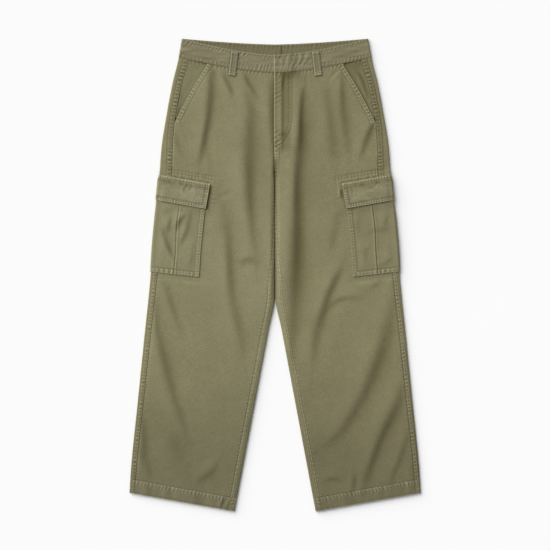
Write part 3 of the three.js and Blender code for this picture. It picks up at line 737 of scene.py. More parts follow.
def back_surface(spot):
    """The back panel: felled seams where it shows at both folds, and soft creases under it."""
    height, tone = (np.where(spot.is_front, values, 0) for values in plain_relief(spot))
    outward = spot.row.side_seam - spot.along
    width = side_band(spot.side)
    upper = fall(spot.side, 270, 300)
    shade = np.interp(spot.side, [180, 300, 520], [-0.42, -0.34, -0.14])
    swing = np.interp(spot.side, [250, 330], [0.66, 0.5])
    strength = 1 - 0.75 * window(spot.side, 188, 238, 20)
    along_band = spot.drop + 0.15 * outward
    raised, band_tone = felled(outward, along_band, width, 7.9, 2.9 + spot.sign, shade, swing, strength)
    shown = spot.along > -4
    height += shown * raised * mix(0.55, 1, smoothstep(outward, 0, 4))
    # Painted shade in a line outside the band and at its inner edge, and painted shade near the fold at x >
    # 0, where the cloth falls away from the light.
    outside = by_side(spot, 0.12, 0.35) * groove(outward - width - 1, 1.4) * upper
    tone += shown * (band_tone - 0.25 * groove(outward, 1.6) - outside)
    tone -= by_side(spot, 0.07, 0) * window(spot.along, 3, 13, 5) * upper
    inward = spot.along + spot.row.length + spot.row.inseam
    at_inner = (spot.along < -spot.row.length) & spot.row.is_leg
    pucker = ladder(spot.drop + 0.3 * inward, 9.6, 6.1 + spot.sign)
    band = window(inward, 0, INSEAM_BAND, 4) * mix(0.45, 0.25, smoothstep(spot.side, 470, 600))
    height += at_inner * (band * (0.35 + 0.3 * pucker) - 0.3 * groove(inward - 2, 0.9))
    tone += at_inner * (0.36 * band * pucker + (0.3 + 0.35 * pucker) * groove(inward - 1.6, 1.2))
    # Painted shade at the leg's inner fold, varying with the puckers.
    tone -= at_inner * (0.15 + 0.35 * pucker) * groove(inward + 0.2, 1.3)
    # Painted light on the fold edge that faces away from the light.
    facing_away = groove(by_side(spot, spot.reach, spot.to_inner), 3.2)
    tone += 0.2 * facing_away * smoothstep(spot.side, 60, 120)
    mirrored, _ = fold_field(-spot.x, spot.drop, FOLDS)
    hidden = ~spot.is_front & (spot.reach > 30)
    soft = 0.3 * np.minimum(mirrored, 0) * hidden * smoothstep(spot.reach, 110, 135)
    return height + np.maximum(soft * smoothstep(spot.to_inner, 6, 26), -0.7), tone


def facing_surface(spot):
    """The facing behind a slant opening, which sinks under the front panel."""
    edge = opening_reach(spot.level)
    seam = spot.row.side_seam
    height = -LAYER * smoothstep(spot.along, seam + 2, np.maximum(edge - 1.5, seam + 6))
    height += 0.25 * waves(spot.x, spot.drop, 24, 60, 10, 8) * window(spot.along, seam + 6, edge - 6, 8)
    crease = crease_field(spot.x, spot.drop, FACING_CREASES)
    pucker = window(spot.along, seam, seam + 6, 4) * ladder(spot.drop, 6.3, 0.8)
    near_waist = window(spot.from_waist, -3, 7, 6) * ladder(spot.x, 8.2, 2.2)
    height += crease + 0.3 * fall(spot.along, seam, seam + 8) + 0.15 * pucker + 0.3 * near_waist
    # Painted shadow in the seam groove, under the front panel's edge and under the waistband; the facing at x
    # > 0 painted darker, the other a little lighter.
    beside = 0.35 * groove(spot.along - seam, 1.6) + 0.8 * groove(spot.along - edge, 2.6)
    tone = 0.35 * crease + 0.2 * pucker + 0.3 * near_waist - 0.55 * beside - by_side(spot, 0.44, -0.1)
    return height, tone - lines(spot.from_waist, (0.5, 0, 2.2), (0.2, 0, 16))


def pocket_surface(spot):
    """A cargo pocket: a swollen middle with folds, the pleat's lip, and felled edges."""
    above_end = side_at("pocket end") - spot.side
    inner = POCKET_FRONT - NARROWER[spot.sign] - spot.along
    is_front = np.where(spot.along > 6, 1.0, 0.0)
    open_part = smoothstep(spot.side, 352, 366)
    middle = smoothstep(spot.along, 8, 24) * smoothstep(inner, 10, 24)
    middle = middle * smoothstep(above_end, 8, 26) * open_part
    folds, painted_fold_shade = fold_field(spot.x, spot.drop, POCKET_FOLDS)
    soft = (1 + folds + 0.2 * waves(spot.x, spot.drop, 26, 70, 12, 11)) * middle
    # worn: how strongly the pleat is marked on each side, in its groove's depth and in its painted highlight
    # and shade.
    worn = by_side(spot, 1.0, 0.62)
    pleat = spot.along - PLEAT - by_side(spot, 0, 4) - 1.2 * np.sin(spot.side / 23)
    lip = lines(pleat, (0.75, 2.6, 2.2), (0.45, -2.8, 2.6), (-1.5 * worn, 0, 0.8))
    lip = lip * open_part * mix(0.45, 1, smoothstep(above_end, 0, 12))
    edges = felled(inner, spot.side, POCKET_SIDE_BAND, 6.5, 3.3 + spot.sign, 0.0, 0.44)
    along_end = spot.along + 3.4 * np.sin(spot.along / 11)
    ends = felled(above_end, along_end, POCKET_END_BAND, 8.4, 0.3 + spot.sign, -0.04, 0.5)
    by_edge = inner < above_end
    sewn = np.where(by_edge, edges[0], ends[0])
    # Painted shade in a line along the upper edge of the pocket's bottom band.
    end_tone = ends[1] - 0.35 * groove(above_end - POCKET_END_BAND - 0.4, 1.3)
    sewn_tone = np.where(by_edge, edges[1], end_tone) * (0.7 * is_front + 0.3)
    # Painted shade in the folds' shaded flanks; the pocket at x > 0 painted darker, the other a little
    # lighter.
    tone = (0.06 * folds - 0.17 * painted_fold_shade) * middle + sewn_tone - by_side(spot, 0.09, -0.08)
    # Painted highlight beside the pleat, and painted shade in its groove.
    tone += worn * open_part * is_front * lines(pleat, (0.5, 1.9, 1.0), (-0.8, 0, 0.9))
    height = LAYER + (soft + lip + 0.8 * sewn * open_part) * is_front
    over_fold = groove(spot.along, 16) * smoothstep(spot.along, -3.6, 0.5)
    return height + by_side(spot, 1.3, 0.3) * over_fold * window(spot.side, 378, 500, 40), tone


def flap_frame(spot):
    """Distances of a flap's points from its top, bottom and inner edges."""
    inner = flap_edge(spot.side) - NARROWER[spot.sign] - spot.along
    return spot.side - side_at("flap top") - GAP, side_at("flap end") - GAP - spot.side, inner


def flap_inner(spot):
    return GAP + LAYER * smoothstep(flap_frame(spot)[0], 2, FLAP_SEAM)


def flap_surface(spot):
    """A flap: its top seam stands up with a soft dip below, and two rows go round its edge."""
    from_top, from_end, from_inner = flap_frame(spot)
    nearest = np.minimum(from_end, from_inner)
    end_pucker = ladder(spot.along, 5.6, 1.9 + spot.sign)
    pucker = np.where(from_end < from_inner, end_pucker, ladder(from_top, 5.4, 4))
    rim = window(nearest, -2, 8, 2)
    rows = lines(nearest, (1, 2, 0.9), (1, 6.6, 0.9))
    top_pucker = ladder(spot.along, 5.8, 5 + spot.sign)
    ridge = groove(from_top - 3, 3)
    dip = groove(from_top - 10.5, 5)
    droop = ladder(spot.along + 2.6 * np.sin(from_top / 3.5 + spot.along / 9), 13.5, 2.7 + spot.sign)
    ripples = np.clip(0.6 * droop + 0.75 * waves(spot.x, spot.drop, 9, 24, 12, 27), -1, 1)
    mottle = waves(spot.x, 1.5 * spot.drop, 12, 34, 14, 29) * smoothstep(from_top, 8, 20)
    soft = 0.4 * waves(spot.x, spot.drop, 35, 90, 10, 14) * smoothstep(from_end, 6, 16)
    creases = crease_field(spot.x, spot.drop, FLAP_CREASES)
    height = 0.9 * smoothstep(from_top, 1, 6) + 0.9 * smoothstep(from_top, 18, 46) + soft + creases
    height += rim * (0.3 + 0.3 * pucker) - 0.35 * rows
    height += ridge * (0.8 + 0.3 * top_pucker) - dip * (0.35 - 0.1 * ripples)
    # Tone: lighter worn rims, edges and pucker crests; painted shade in the stitch grooves and in the dip
    # under the top ridge, and darker lines inside the edge rows and below the top edge; the flap at x > 0
    # painted darker.
    tone = rim * (0.6 * pucker + 0.02) + lines(nearest, (0.7, 0.4, 1.1), (-0.55, 9.2, 1.5)) - 0.6 * rows
    tone += lines(from_top, (0.3, 0.6, 1.1), (-0.4, 5.4, 1.1)) + 0.75 * ridge * top_pucker
    tone += 0.2 * soft + 0.28 * creases + 0.08 * mottle - dip * (0.52 - 0.2 * ripples)
    height = flap_inner(spot) + PLY + height * smoothstep(spot.along, 5, 16)
    return height, tone - by_side(spot, 0.14, -0.05)


def band_rise(spot):
    """The left end of the waistband steps up over the right one."""
    return (DOUBLE_PLY + GAP) * fall(spot.from_centre, *BAND_STEP) * (spot.along > 0) * (spot.sign > 0)


def band_surface(spot):
    """The waistband: ticks at its top, rungs at its seam, and a drag towards the fly."""
    from_top = spot.side
    from_end = -spot.from_waist
    beyond_loop = smoothstep(np.abs(spot.x), 82, 102)
    by_fly = smoothstep(spot.x, -4, 10) * fall(spot.x, 58, 92)
    patchy = np.clip(0.75 + 0.5 * waves(spot.x, spot.drop, 26, 70, 8, 23), 0.2, 1.3)
    bend = 0.5 * from_top + 3.2 * np.sin(from_top / 7.5 + spot.x / 29) + 3.5 * np.sin(spot.x / 23 + 0.8)
    wave = ladder(spot.x + bend, 11.6, 1.1) * window(from_top, 1, 29, 12) * by_fly
    ticks = ladder(spot.x + 0.7 * from_top, 7.7, 0.6) * window(from_top, 0.8, 9.5, 5) * mix(patchy, 1.1, 0.5)
    rungs = ladder(spot.x - 0.25 * from_end, 7.9, 3.4) * window(from_end, 1.2, mix(17, 8.5, beyond_loop), 5)
    streaks = waves(0.4 * spot.x + spot.drop, 2.1 * spot.drop, 14, 40, 12, 17)
    streaks = streaks * smoothstep(from_top, 4, 12) * smoothstep(from_end, 4, 12)
    rows = groove(from_top - BAND_TOP_ROW, 0.8) + groove(from_end - BAND_END_ROW, 0.8)
    height = 0.1 + 0.4 * wave + 0.3 * ticks + 0.4 * rungs + 0.3 * streaks + 0.3 * groove(from_end - 4, 2.5)
    # Stitch rows darker: painted shade in their grooves.
    tone = 0.42 * wave + 0.5 * ticks * mix(1, 0.45, by_fly) + 0.12 * streaks - 0.35 * rows
    tone += mix(0.42, 0.56, beyond_loop) * rungs * patchy
    # Beyond the loops: darker near the seam, with a dark line above it.
    tone -= beyond_loop * (0.05 * window(from_end, 0, 10, 4) + 0.25 * groove(from_end - 9.4, 1.1))
    # Lighter worn top edge with a darker line below it, and painted shade along the bottom seam.
    tone += lines(from_top, (0.6, 0.3, 1.4), (-0.3, 3.6, 1.8)) - 0.45 * groove(from_end, 1.5)
    # Painted shade over the half at x > 0, and painted shadow on either side of the front belt loops.
    tone -= 0.07 * smoothstep(spot.x, 60, 120) + 0.4 * loop_side(spot)
    if spot.sign > 0:
        # The lapped left end: painted highlight on its edge, painted shade beside it, and a patch of painted
        # shade near the fly's top.
        tone += lines(spot.from_centre, (1.1, -1.5, 1.3), (-0.45, 1.8, 1.6))
        tone -= 0.5 * groove(spot.x - 9, 6) * groove(from_top - 6.5, 2.6)
    height = band_rise(spot) + height * spot.is_front - 0.35 * np.minimum(rows, 1)
    return height, tone * mix(0.3, 1, spot.is_front)


def loop_side(spot):
    """Thin shade on both sides of a front belt loop."""
    whole = side_at("waist seam") + LOOP_BELOW_SEAM - LOOP_BELOW_TOP
    down = np.clip((spot.side - LOOP_BELOW_TOP) / whole, 0, 1)
    beside = np.abs(np.abs(spot.x) - mix(*FRONT_LOOP, down)) - LOOP_WIDTH / 2
    return groove(beside - 0.6, 1.5) * ((down > 0) & (down < 1) & spot.is_front)


def band_inner(spot):
    """The inside of the waistband, puckered along its top on the back."""
    pucker = ladder(spot.x + 0.2 * spot.side, 8.6, 3.7)
    ripple = pucker * (0.14 + 0.2 * groove(spot.side, 6)) - 0.3 * groove(spot.side - BAND_TOP_ROW)
    return band_rise(spot) - DOUBLE_PLY - ripple * ~spot.is_front * smoothstep(spot.reach, 4, 14)


def band_inner_tone(spot):
    # The inside of the back band: painted shade over all of it and at the back seam, lighter ticks and top
    # edge, and a darker line below the top.
    pucker = ladder(spot.x + 0.2 * spot.side, 8.6, 3.7)
    seam = (spot.along < 0) * groove(spot.x - BAND_BACK_SEAM, 1.6)
    ticks = pucker * (0.3 * groove(spot.side - 3, 4) + 0.1)
    return ticks - 0.7 * seam + lines(spot.side, (0.32, 0, 2.2), (-0.3, 5, 1.6)) - 0.42


def hem_surface(spot):
    """A turned-up hem: puckers below its stitch row, rungs at its seams, and an uneven end."""
    from_top = spot.side - side_at("hem seam")
    from_end = side_at("hem end") - spot.side
    pucker = ladder(spot.along + 0.25 * from_top, 7.8, 2.6 + spot.sign) * window(from_top, 0.5, 10, 5)
    sewn = groove(from_top - HEM_ROW, 0.8)
    side_seam = spot.row.side_seam
    seams = groove(spot.along - side_seam, 1.5) + groove(spot.from_centre - spot.row.inseam, 1.5)
    beside = window(spot.along, 2, side_seam, 3) + window(spot.from_centre, 2, spot.row.inseam, 3)
    beside = beside * ladder(from_top + 0.3 * spot.along, 6.4, 1.3)
    bands = waves(spot.along, 0 * spot.along, 14, 60, 9, 31)
    flat = smoothstep(spot.reach, 3, 12) * smoothstep(spot.to_inner, 3, 12)
    end_pucker = ladder(spot.along, 9, 0.9) * window(from_end, -2, 4, 4)
    folds = crease_field(spot.x, spot.drop, HEM_CREASES)
    wide = fold_field(spot.x, spot.drop, FOLDS)[0] * fall(from_top, 0, 22)
    height = 0.4 + 0.28 * pucker + 0.15 * end_pucker + folds + 0.7 * wide - 0.5 * seams + 0.12 * bands
    height += (puff(spot) - 0.4) * (1 - 0.8 * smoothstep(from_top, 4, 31))
    height = (height * spot.is_front - 0.35 * sewn * (spot.is_front | (spot.reach > 8))) * flat
    # Tone: lighter pucker crests and bands, painted shade in the seam grooves; the hem at x > 0 a little
    # darker, the other lighter.
    tone = 0.42 * pucker + 0.15 * end_pucker + 0.1 * folds - 0.45 * seams + 0.32 * beside + 0.09 * bands
    tone += lines(from_top, (-0.05, HEM_ROW, 0.8), (0.35, 0.9, 1.2))
    tone += lines(from_end, (0.5, 0.3, 1.4), (-0.3, 3.4, 1.3))
    return height, (tone + by_side(spot, -0.03, 0.07)) * mix(0.4, 1, spot.is_front)


def height_of(surface):
    """The outer face alone of a surface that gives height and tone."""
    return lambda spot: surface(spot)[0]


def under(surface, thickness):
    """The inner face of a sheet, one thickness below its outer one."""
    return lambda spot: surface(spot)[0] - thickness


front_outer = height_of(front_surface)
back_outer = height_of(back_surface)
pocket_outer = height_of(pocket_surface)
flap_outer = height_of(flap_surface)
band_outer = height_of(band_surface)
hem_outer = height_of(hem_surface)


# Meshes

SHARP_ANGLE = 55  # degrees
DARKER_LEG = (640, 980)  # drops between which the cloth gets darker

def write_mesh(name, points, faces, attributes, material):
    mesh = bpy.data.meshes.new(name)
    mesh.from_pydata((points * MM).tolist(), [], faces)
    mesh.validate()
    mesh.polygons.foreach_set("use_smooth", [True] * len(mesh.polygons))
    mesh.set_sharp_from_angle(angle=math.radians(SHARP_ANGLE))
    for key, values in attributes.items():
        layer = mesh.attributes.new(key, "FLOAT", "POINT")
        layer.data.foreach_set("value", np.asarray(values, dtype=np.float32))
    mesh.materials.append(material)
    mesh.update()
    piece = bpy.data.objects.new(name, mesh)
    bpy.context.scene.collection.objects.link(piece)
    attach(piece, "root")
    return piece


def wall_faces(rows, columns, is_ring):
    """Faces of a closed wall: a fine outer face, an inner one with every other row, and rims."""
    near_row = rows * columns
    cells = columns if is_ring else columns - 1
    j = np.arange(cells)
    k = (j + 1) % columns
    faces = []
    for i in range(rows - 1):
        a = i * columns
        b = a + columns
        faces.extend(np.stack([a + j, a + k, b + k, b + j], axis=1).tolist())
    for i in range((rows - 1) // 2):
        a = near_row + i * columns
        b = a + columns
        faces.extend(np.stack([b + j, b + k, a + k, a + j], axis=1).tolist())
    last = (rows - 1) * columns
    last_near = near_row + (rows - 1) // 2 * columns
    faces.extend(np.stack([j + near_row, k + near_row, k, j], axis=1).tolist())
    faces.extend(np.stack([last + j, last + k, last_near + k, last_near + j], axis=1).tolist())
    if not is_ring:
        for i in range(0, rows - 1, 2):
            a = i * columns
            near = near_row + i // 2 * columns
            rim = [a, a + columns, a + 2 * columns, near + columns, near]
            right = columns - 1
            faces.append(rim)
            faces.append([n + right for n in reversed(rim)])
    return faces


def enclosed_volume(points, faces):
    quads = np.array([face[:4] for face in faces])
    a, b, c, d = (points[quads[:, n]] for n in range(4))
    first = np.einsum("ij,ij->i", a, np.cross(b, c)).sum()
    second = np.einsum("ij,ij->i", a, np.cross(c, d)).sum()
    return first + second


def make_sheet(name, levels, columns_at, surface, inner, sign, material, is_ring=False, inner_tone=None):
    """A thin closed wall over a fine grid, with its outer and inner faces given as offsets."""
    if len(levels) % 2 == 0:
        levels = np.interp(np.linspace(0, 1, len(levels) + 1), np.linspace(0, 1, len(levels)), levels)
    along = columns_at(levels[:, None])
    spot = place(np.broadcast_to(levels[:, None], along.shape), along, sign)
    height, tone = surface(spot)
    far = spot.base + height[..., None] * spot.out
    near = (spot.base + inner(spot)[..., None] * spot.out)[::2]
    points = np.concatenate([far.reshape(-1, 3), near.reshape(-1, 3)])
    faces = wall_faces(*along.shape, is_ring)
    if enclosed_volume(points, faces) < 0:
        faces = [face[::-1] for face in faces]
    far_tone = np.broadcast_to(tone, along.shape)
    near_tone = (inner_tone(spot) if inner_tone else 0 * spot.x)[::2]
    tones = np.concatenate([far_tone.ravel(), near_tone.ravel()])
    shade = smoothstep(spot.drop, *DARKER_LEG)
    shades = np.concatenate([shade.ravel(), shade[::2].ravel()])
    return write_mesh(name, points, faces, {"tone": tones, "shade": shades}, material)


def spread(*stops):
    """Columns between stops given as (position, spacing to the next) pairs, for every row."""

    def columns(levels):
        places = [stop(levels) if callable(stop) else np.full_like(levels, stop) for stop, _ in stops]
        parts = []
        for start, end, (_, spacing) in zip(places, places[1:], stops):
            count = max(1, int(round(np.abs(end - start).max() / spacing)))
            share = np.arange(count) / count
            parts.append(start + (end - start) * share)
        return np.concatenate([*parts, places[-1]], axis=1)

    return columns


# Materials


RIB_PITCH = 0.00085  # metres between the diagonal ribs of the twill
ZIP_TOOTH = 0.0019  # metres from one tooth of the zip to the next
FADE_AND_HIGHLIGHT = (0.17, 0.165, 0.12)  # what the top tone adds to the colour: real fading and painted highlight
PAINTED_SHADE_TINT = (0.46, 0.41, 0.29, 1)  # what is left of the colour at the lowest tone: painted shade in folds, seams and recesses
LOW_SHARE = 0.72  # how bright the cloth is at the hems against the waist
SHEEN_TINT = (0.75, 0.74, 0.6, 1)
WAVE_SCALE = math.pi / 10  # a wave texture of this scale repeats once a metre
MIDDLE = (0.3, 0.7)  # most values of a noise texture lie between these
RIB_ANGLE = 1.05  # radians
THREAD_COLOURS = ((0.26, 0.25, 0.17, 1), (0.42, 0.4, 0.29, 1))
FLOOR_COLOURS = ((0.9, 0.9, 0.9, 1), (0.91, 0.91, 0.91, 1))
ZIP_COLOURS = ((0.06, 0.055, 0.035, 1), (0.13, 0.115, 0.07, 1))


def connect(tree, value, socket):
    """Links a socket's value, or sets a plain one."""
    if isinstance(value, bpy.types.NodeSocket):
        tree.links.new(value, socket)
    else:
        socket.default_value = value


def new_material(name):
    """A material, its node tree, its shader, and the object's own coordinates in it."""
    material = bpy.data.materials.new(name)
    material.use_nodes = True
    tree = material.node_tree
    where = add_node(tree, "ShaderNodeTexCoord").outputs["Object"]
    return material, tree, tree.nodes["Principled BSDF"], where


def add_node(tree, kind, inputs=None, **settings):
    node = tree.nodes.new(kind)
    for key, value in settings.items():
        setattr(node, key, value)
    for key, value in (inputs or {}).items():
        connect(tree, value, node.inputs[key])
    return node


def colour_mix(tree, factor, first, second, blend="MIX"):
    node = add_node(tree, "ShaderNodeMix", data_type="RGBA", blend_type=blend)
    for place_in_node, value in ((0, factor), (6, first), (7, second)):
        connect(tree, value, node.inputs[place_in_node])
    return node.outputs[2]


def maths(tree, operation, first, second, clamp=False):
    values = {0: first, 1: second}
    return add_node(tree, "ShaderNodeMath", values, operation=operation, use_clamp=clamp).outputs[0]


def stretched(tree, value, low, high, to_low, to_high):
    """A value's range from low to high, stretched over another range."""
    return add_node(tree, "ShaderNodeMapRange", {0: value, 1: low, 2: high, 3: to_low, 4: to_high}).outputs[0]


def noise(tree, where, scale, detail=2.0):
    values = {"Vector": where, "Scale": scale, "Detail": detail}
    return add_node(tree, "ShaderNodeTexNoise", values).outputs["Fac"]


def bumped(tree, height, strength, distance, **others):
    values = {"Height": height, "Strength": strength, "Distance": distance, **others}
    return add_node(tree, "ShaderNodeBump", values).outputs[0]


def opaque(colour, factor=1.0):
    return (colour[0] * factor, colour[1] * factor, colour[2] * factor, 1)


def set_shader(tree, shader, height=None, strength=0.0, distance=0.0, **values):
    """Sets a shader's inputs by name, and gives it a bump where a height is given."""
    for key, value in values.items():
        connect(tree, value, shader.inputs[key.replace("_", " ")])
    if height:
        connect(tree, bumped(tree, height, strength, distance), shader.inputs["Normal"])


def twill(name, colour, seed=0.0):
    """Washed cotton twill: diagonal ribs, uneven dye, faded edges, a soft nap, and painted shade and
    highlight from the tone attribute.
    """
    material, tree, shader, where = new_material(name)
    shift = {"Vector": where, "Location": (seed, seed * 0.7, 0), "Rotation": (0, 0, RIB_ANGLE)}
    moved = add_node(tree, "ShaderNodeMapping", shift).outputs[0]
    wave = {"Vector": moved, "Scale": WAVE_SCALE / RIB_PITCH, "Distortion": 0.8}
    wave |= {"Detail": 1.0, "Detail Scale": 1.5}
    ribs = add_node(tree, "ShaderNodeTexWave", wave, bands_direction="X").outputs["Fac"]
    fleck = noise(tree, moved, 380.0, 3.0)
    tone, shade = (
        add_node(tree, "ShaderNodeAttribute", attribute_name=key).outputs["Fac"] for key in ("tone", "shade")
    )
    base = colour_mix(tree, shade, opaque(colour), opaque(colour, LOW_SHARE))
    factor = stretched(tree, noise(tree, moved, 9.0, 4.0), *MIDDLE, 0.96, 1.04)
    for value, low, high, darkest, lightest in (
        (noise(tree, moved, 60.0, 3.0), *MIDDLE, 0.965, 1.035),
        (fleck, *MIDDLE, 0.875, 1.125),
        (ribs, 0.0, 1.0, 0.88, 1.1),
    ):
        factor = maths(tree, "MULTIPLY", factor, stretched(tree, value, low, high, darkest, lightest))
    grey = add_node(tree, "ShaderNodeCombineColor", {0: factor, 1: factor, 2: factor}).outputs[0]
    base = colour_mix(tree, 1.0, base, grey, "MULTIPLY")
    # Painted shade: below a tone of 0 the colour is multiplied down towards the shade tint.
    darkness = stretched(tree, tone, -1.0, 0.0, 1.0, 0.0)
    base = colour_mix(tree, darkness, base, colour_mix(tree, 1.0, base, PAINTED_SHADE_TINT, "MULTIPLY"))
    # Fading and painted highlight: above a tone of 0 the colour is mixed towards the lighter one.
    uneven = maths(tree, "MULTIPLY", tone, stretched(tree, fleck, *MIDDLE, 0.7, 1.3), True)
    base = colour_mix(tree, uneven, base, opaque([c + extra for c, extra in zip(colour, FADE_AND_HIGHLIGHT)]))
    rough = stretched(tree, fleck, *MIDDLE, 0.84, 0.98)
    ribs = maths(tree, "MULTIPLY", ribs, 0.7)
    weave = maths(tree, "ADD", ribs, maths(tree, "MULTIPLY", noise(tree, moved, 900.0), 0.5))
    nap = bumped(tree, fleck, 0.25, 0.0004, Normal=bumped(tree, weave, 0.5, 0.00025))
    set_shader(tree, shader, Base_Color=base, Roughness=rough, Normal=nap, Specular_IOR_Level=0.12)
    set_shader(tree, shader, Sheen_Weight=0.07, Sheen_Roughness=0.6, Sheen_Tint=SHEEN_TINT)
    return material


def thread_material():
    material, tree, shader, where = new_material("thread_olive")
    colour = colour_mix(tree, noise(tree, where, 300.0), *THREAD_COLOURS)
    twist = noise(tree, where, 2500.0)
    set_shader(tree, shader, twist, 0.4, 0.0001, Base_Color=colour, Roughness=0.65, Sheen_Weight=0.1)
    return material


def floor_material():
    material, tree, shader, where = new_material("floor_pale")
    colour = colour_mix(tree, noise(tree, where, 3.0), *FLOOR_COLOURS)
    set_shader(tree, shader, Base_Color=colour, Roughness=0.9, Specular_IOR_Level=0.1)
    return material


def zip_material():
    """Antique brass with worn edges, in fine bands like closed teeth."""
    material, tree, shader, where = new_material("zip_brass")
    wear = noise(tree, where, 160.0, 3.0)
    colour = colour_mix(tree, wear, *ZIP_COLOURS)
    rough = stretched(tree, wear, *MIDDLE, 0.35, 0.6)
    teeth = {"Vector": where, "Scale": WAVE_SCALE / ZIP_TOOTH, "Distortion": 0.0}
    bands = add_node(tree, "ShaderNodeTexWave", teeth, bands_direction="Y").outputs["Fac"]
    set_shader(tree, shader, bands, 0.6, 0.0004, Base_Color=colour, Roughness=rough, Metallic=0.9)
    return material


OLIVE = twill("twill_olive", (0.222, 0.204, 0.112))
OLIVE_BAND = twill("twill_band", (0.208, 0.19, 0.112), 0.13)
OLIVE_POCKET = twill("twill_pocket", (0.222, 0.205, 0.115), 0.29)
OLIVE_FLAP = twill("twill_flap", (0.24, 0.223, 0.132), 0.41)
OLIVE_FACING = twill("twill_facing", (0.208, 0.192, 0.106), 0.53)
OLIVE_HEM = twill("twill_hem", (0.21, 0.192, 0.11), 0.67)
THREAD = thread_material()


# Pieces

# Each kind of sheet: its solid, slot, material, faces, row spacing, flat width, length and area
KINDS = {
    "front": ("front_panel_", "twill_body", OLIVE, front_surface, under(front_surface, PLY),
        1.45, 290, 965, 0.232),
    "back": ("back_panel_", "twill_body", OLIVE, back_surface, under(back_surface, PLY),
        1.6, 330, 990, 0.275),
    "hip_facing": ("hip_pocket_facing_", "twill_facing", OLIVE_FACING, facing_surface,
        under(facing_surface, PLY), 2.4, 60, 132, 0.0046),
    "cargo_pocket": ("cargo_pocket_", "twill_pocket", OLIVE_POCKET, pocket_surface,
        lambda spot: np.full_like(spot.x, GAP), 1.7, 200, 198, None),
    "cargo_flap": ("cargo_flap_", "twill_flap", OLIVE_FLAP, flap_surface, flap_inner,
        1.4, 204, 56, None),
    "waistband": ("waistband_", "twill_waistband", OLIVE_BAND, band_surface, band_inner,
        1.25, 437, 40, None),
    "hem": ("hem_", "twill_hem", OLIVE_HEM, hem_surface, under(hem_surface, DOUBLE_PLY),
        1.3, 462, 32, None),
}
RIGHT_BAND_WIDTH = 412


def add_sheet_facts(node):
    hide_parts(node)


def make_cloth(kind, side, ends, stops, rests_on, **options):
    """One sheet of a kind on one side, from one level to another, with the given column stops."""
    node, slot, material, surface, inner, spacing, width, length, area = KINDS[kind]
    levels = fine_levels(*ends, spacing)
    sign = SIDES[side]
    name = f"cloth_{kind}_{side}"
    piece = make_sheet(name, levels, spread(*stops), surface, inner, sign, material, **options)
    if kind == "waistband" and sign < 0:
        width = RIGHT_BAND_WIDTH
    add_sheet_facts(node + side)


def shifted(edge, by):
    return lambda levels: edge(levels) + by


def row_length(levels):
    return row_at(levels).length


def back_edge(levels):
    """The far end of the row on the back."""
    return -row_at(levels).length


def make_panels(side):
    sign = SIDES[side]
    slant = shifted(opening_reach, HALF_GAP)

    def centre(levels):
        return front_inner_edge(levels, sign > 0)

    def side_seam(levels):
        return row_at(levels).side_seam - HALF_GAP

    def inseam(levels):
        row = row_at(levels)
        return -(row.length + np.where(row.is_leg, row.inseam, 0)) + HALF_GAP

    ends = (level_at("waist seam", HALF_GAP), level_at("hem seam", -HALF_GAP))
    stops = [(side_seam, 0.9), (8, 1.2), (-6, 4), (-22, 8), (shifted(back_edge, 14), 2.2), (back_edge, 1.2)]
    make_cloth("back", side, ends, [*stops, (inseam, 1)], ["floor"])
    stops = [(slant, 0.8), (shifted(slant, 11), 1.6), (shifted(slant, 16), 4)]
    stops += [(shifted(centre, -42), 1.9), (shifted(centre, -4), 0.9), (centre, 1)]
    make_cloth("front", side, ends, stops, ["cloth_back_" + side])
    stops = [(shifted(side_seam, GAP), 1.6), (opening_reach, 2.5)]
    stops.append((shifted(opening_reach, FACING_UNDERLAP), 1))
    ends = (ends[0], level_at("slant end", -FACING_END))
    make_cloth("hip_facing", side, ends, stops, ["cloth_back_" + side])


def make_cargo(side):
    reach = POCKET_FRONT - NARROWER[SIDES[side]]
    stops = [(reach, 0.6), (reach - 1.8, 1.6), (PLEAT + 12, 1.0), (PLEAT - 12, 2.0), (8, 1.2), (-8, 4)]
    ends = (level_at("flap top", POCKET_BELOW_FLAP_TOP), level_at("pocket end", -HALF_GAP))
    rests_on = ["cloth_back_" + side, "cloth_front_" + side]
    make_cloth("cargo_pocket", side, ends, [*stops, (-POCKET_BACK, 1)], rests_on)

    def edge(levels):
        return flap_edge(row_at(levels).side) - NARROWER[SIDES[side]]

    stops = [(edge, 0.6), (shifted(edge, -1.8), 1.5), (8, 1.1), (-8, 4), (-POCKET_BACK - 1, 1)]
    ends = (level_at("flap top", GAP), level_at("flap end", -GAP))
    make_cloth("cargo_flap", side, ends, stops, ["cloth_cargo_pocket_" + side])


def make_band_and_hem(side):
    is_left = SIDES[side] > 0
    front_end = shifted(row_length, FLY_OVERLAP if is_left else BAND_UNDERLAP)
    back_end = shifted(back_edge, (BAND_BACK_SEAM if is_left else -BAND_BACK_SEAM) + HALF_GAP)
    stops = [(front_end, 0.6), (shifted(front_end, -1.8), 2.0), (6, 1.1), (-6, 2.2), (back_end, 1)]
    ends = (0, level_at("waist seam", -HALF_GAP))
    make_cloth("waistband", side, ends, stops, ["cloth_back_" + side], inner_tone=band_inner_tone)
    stops = [(shifted(row_length, -6), 2.2), (6, 1.1), (-6, 3.5)]
    stops += [(shifted(back_edge, 6), 1.2), (shifted(back_edge, -4.8), 1)]
    ends = (level_at("hem seam", HALF_GAP), LAST_LEVEL)
    make_cloth("hem", side, ends, stops, ["floor"], is_ring=True)


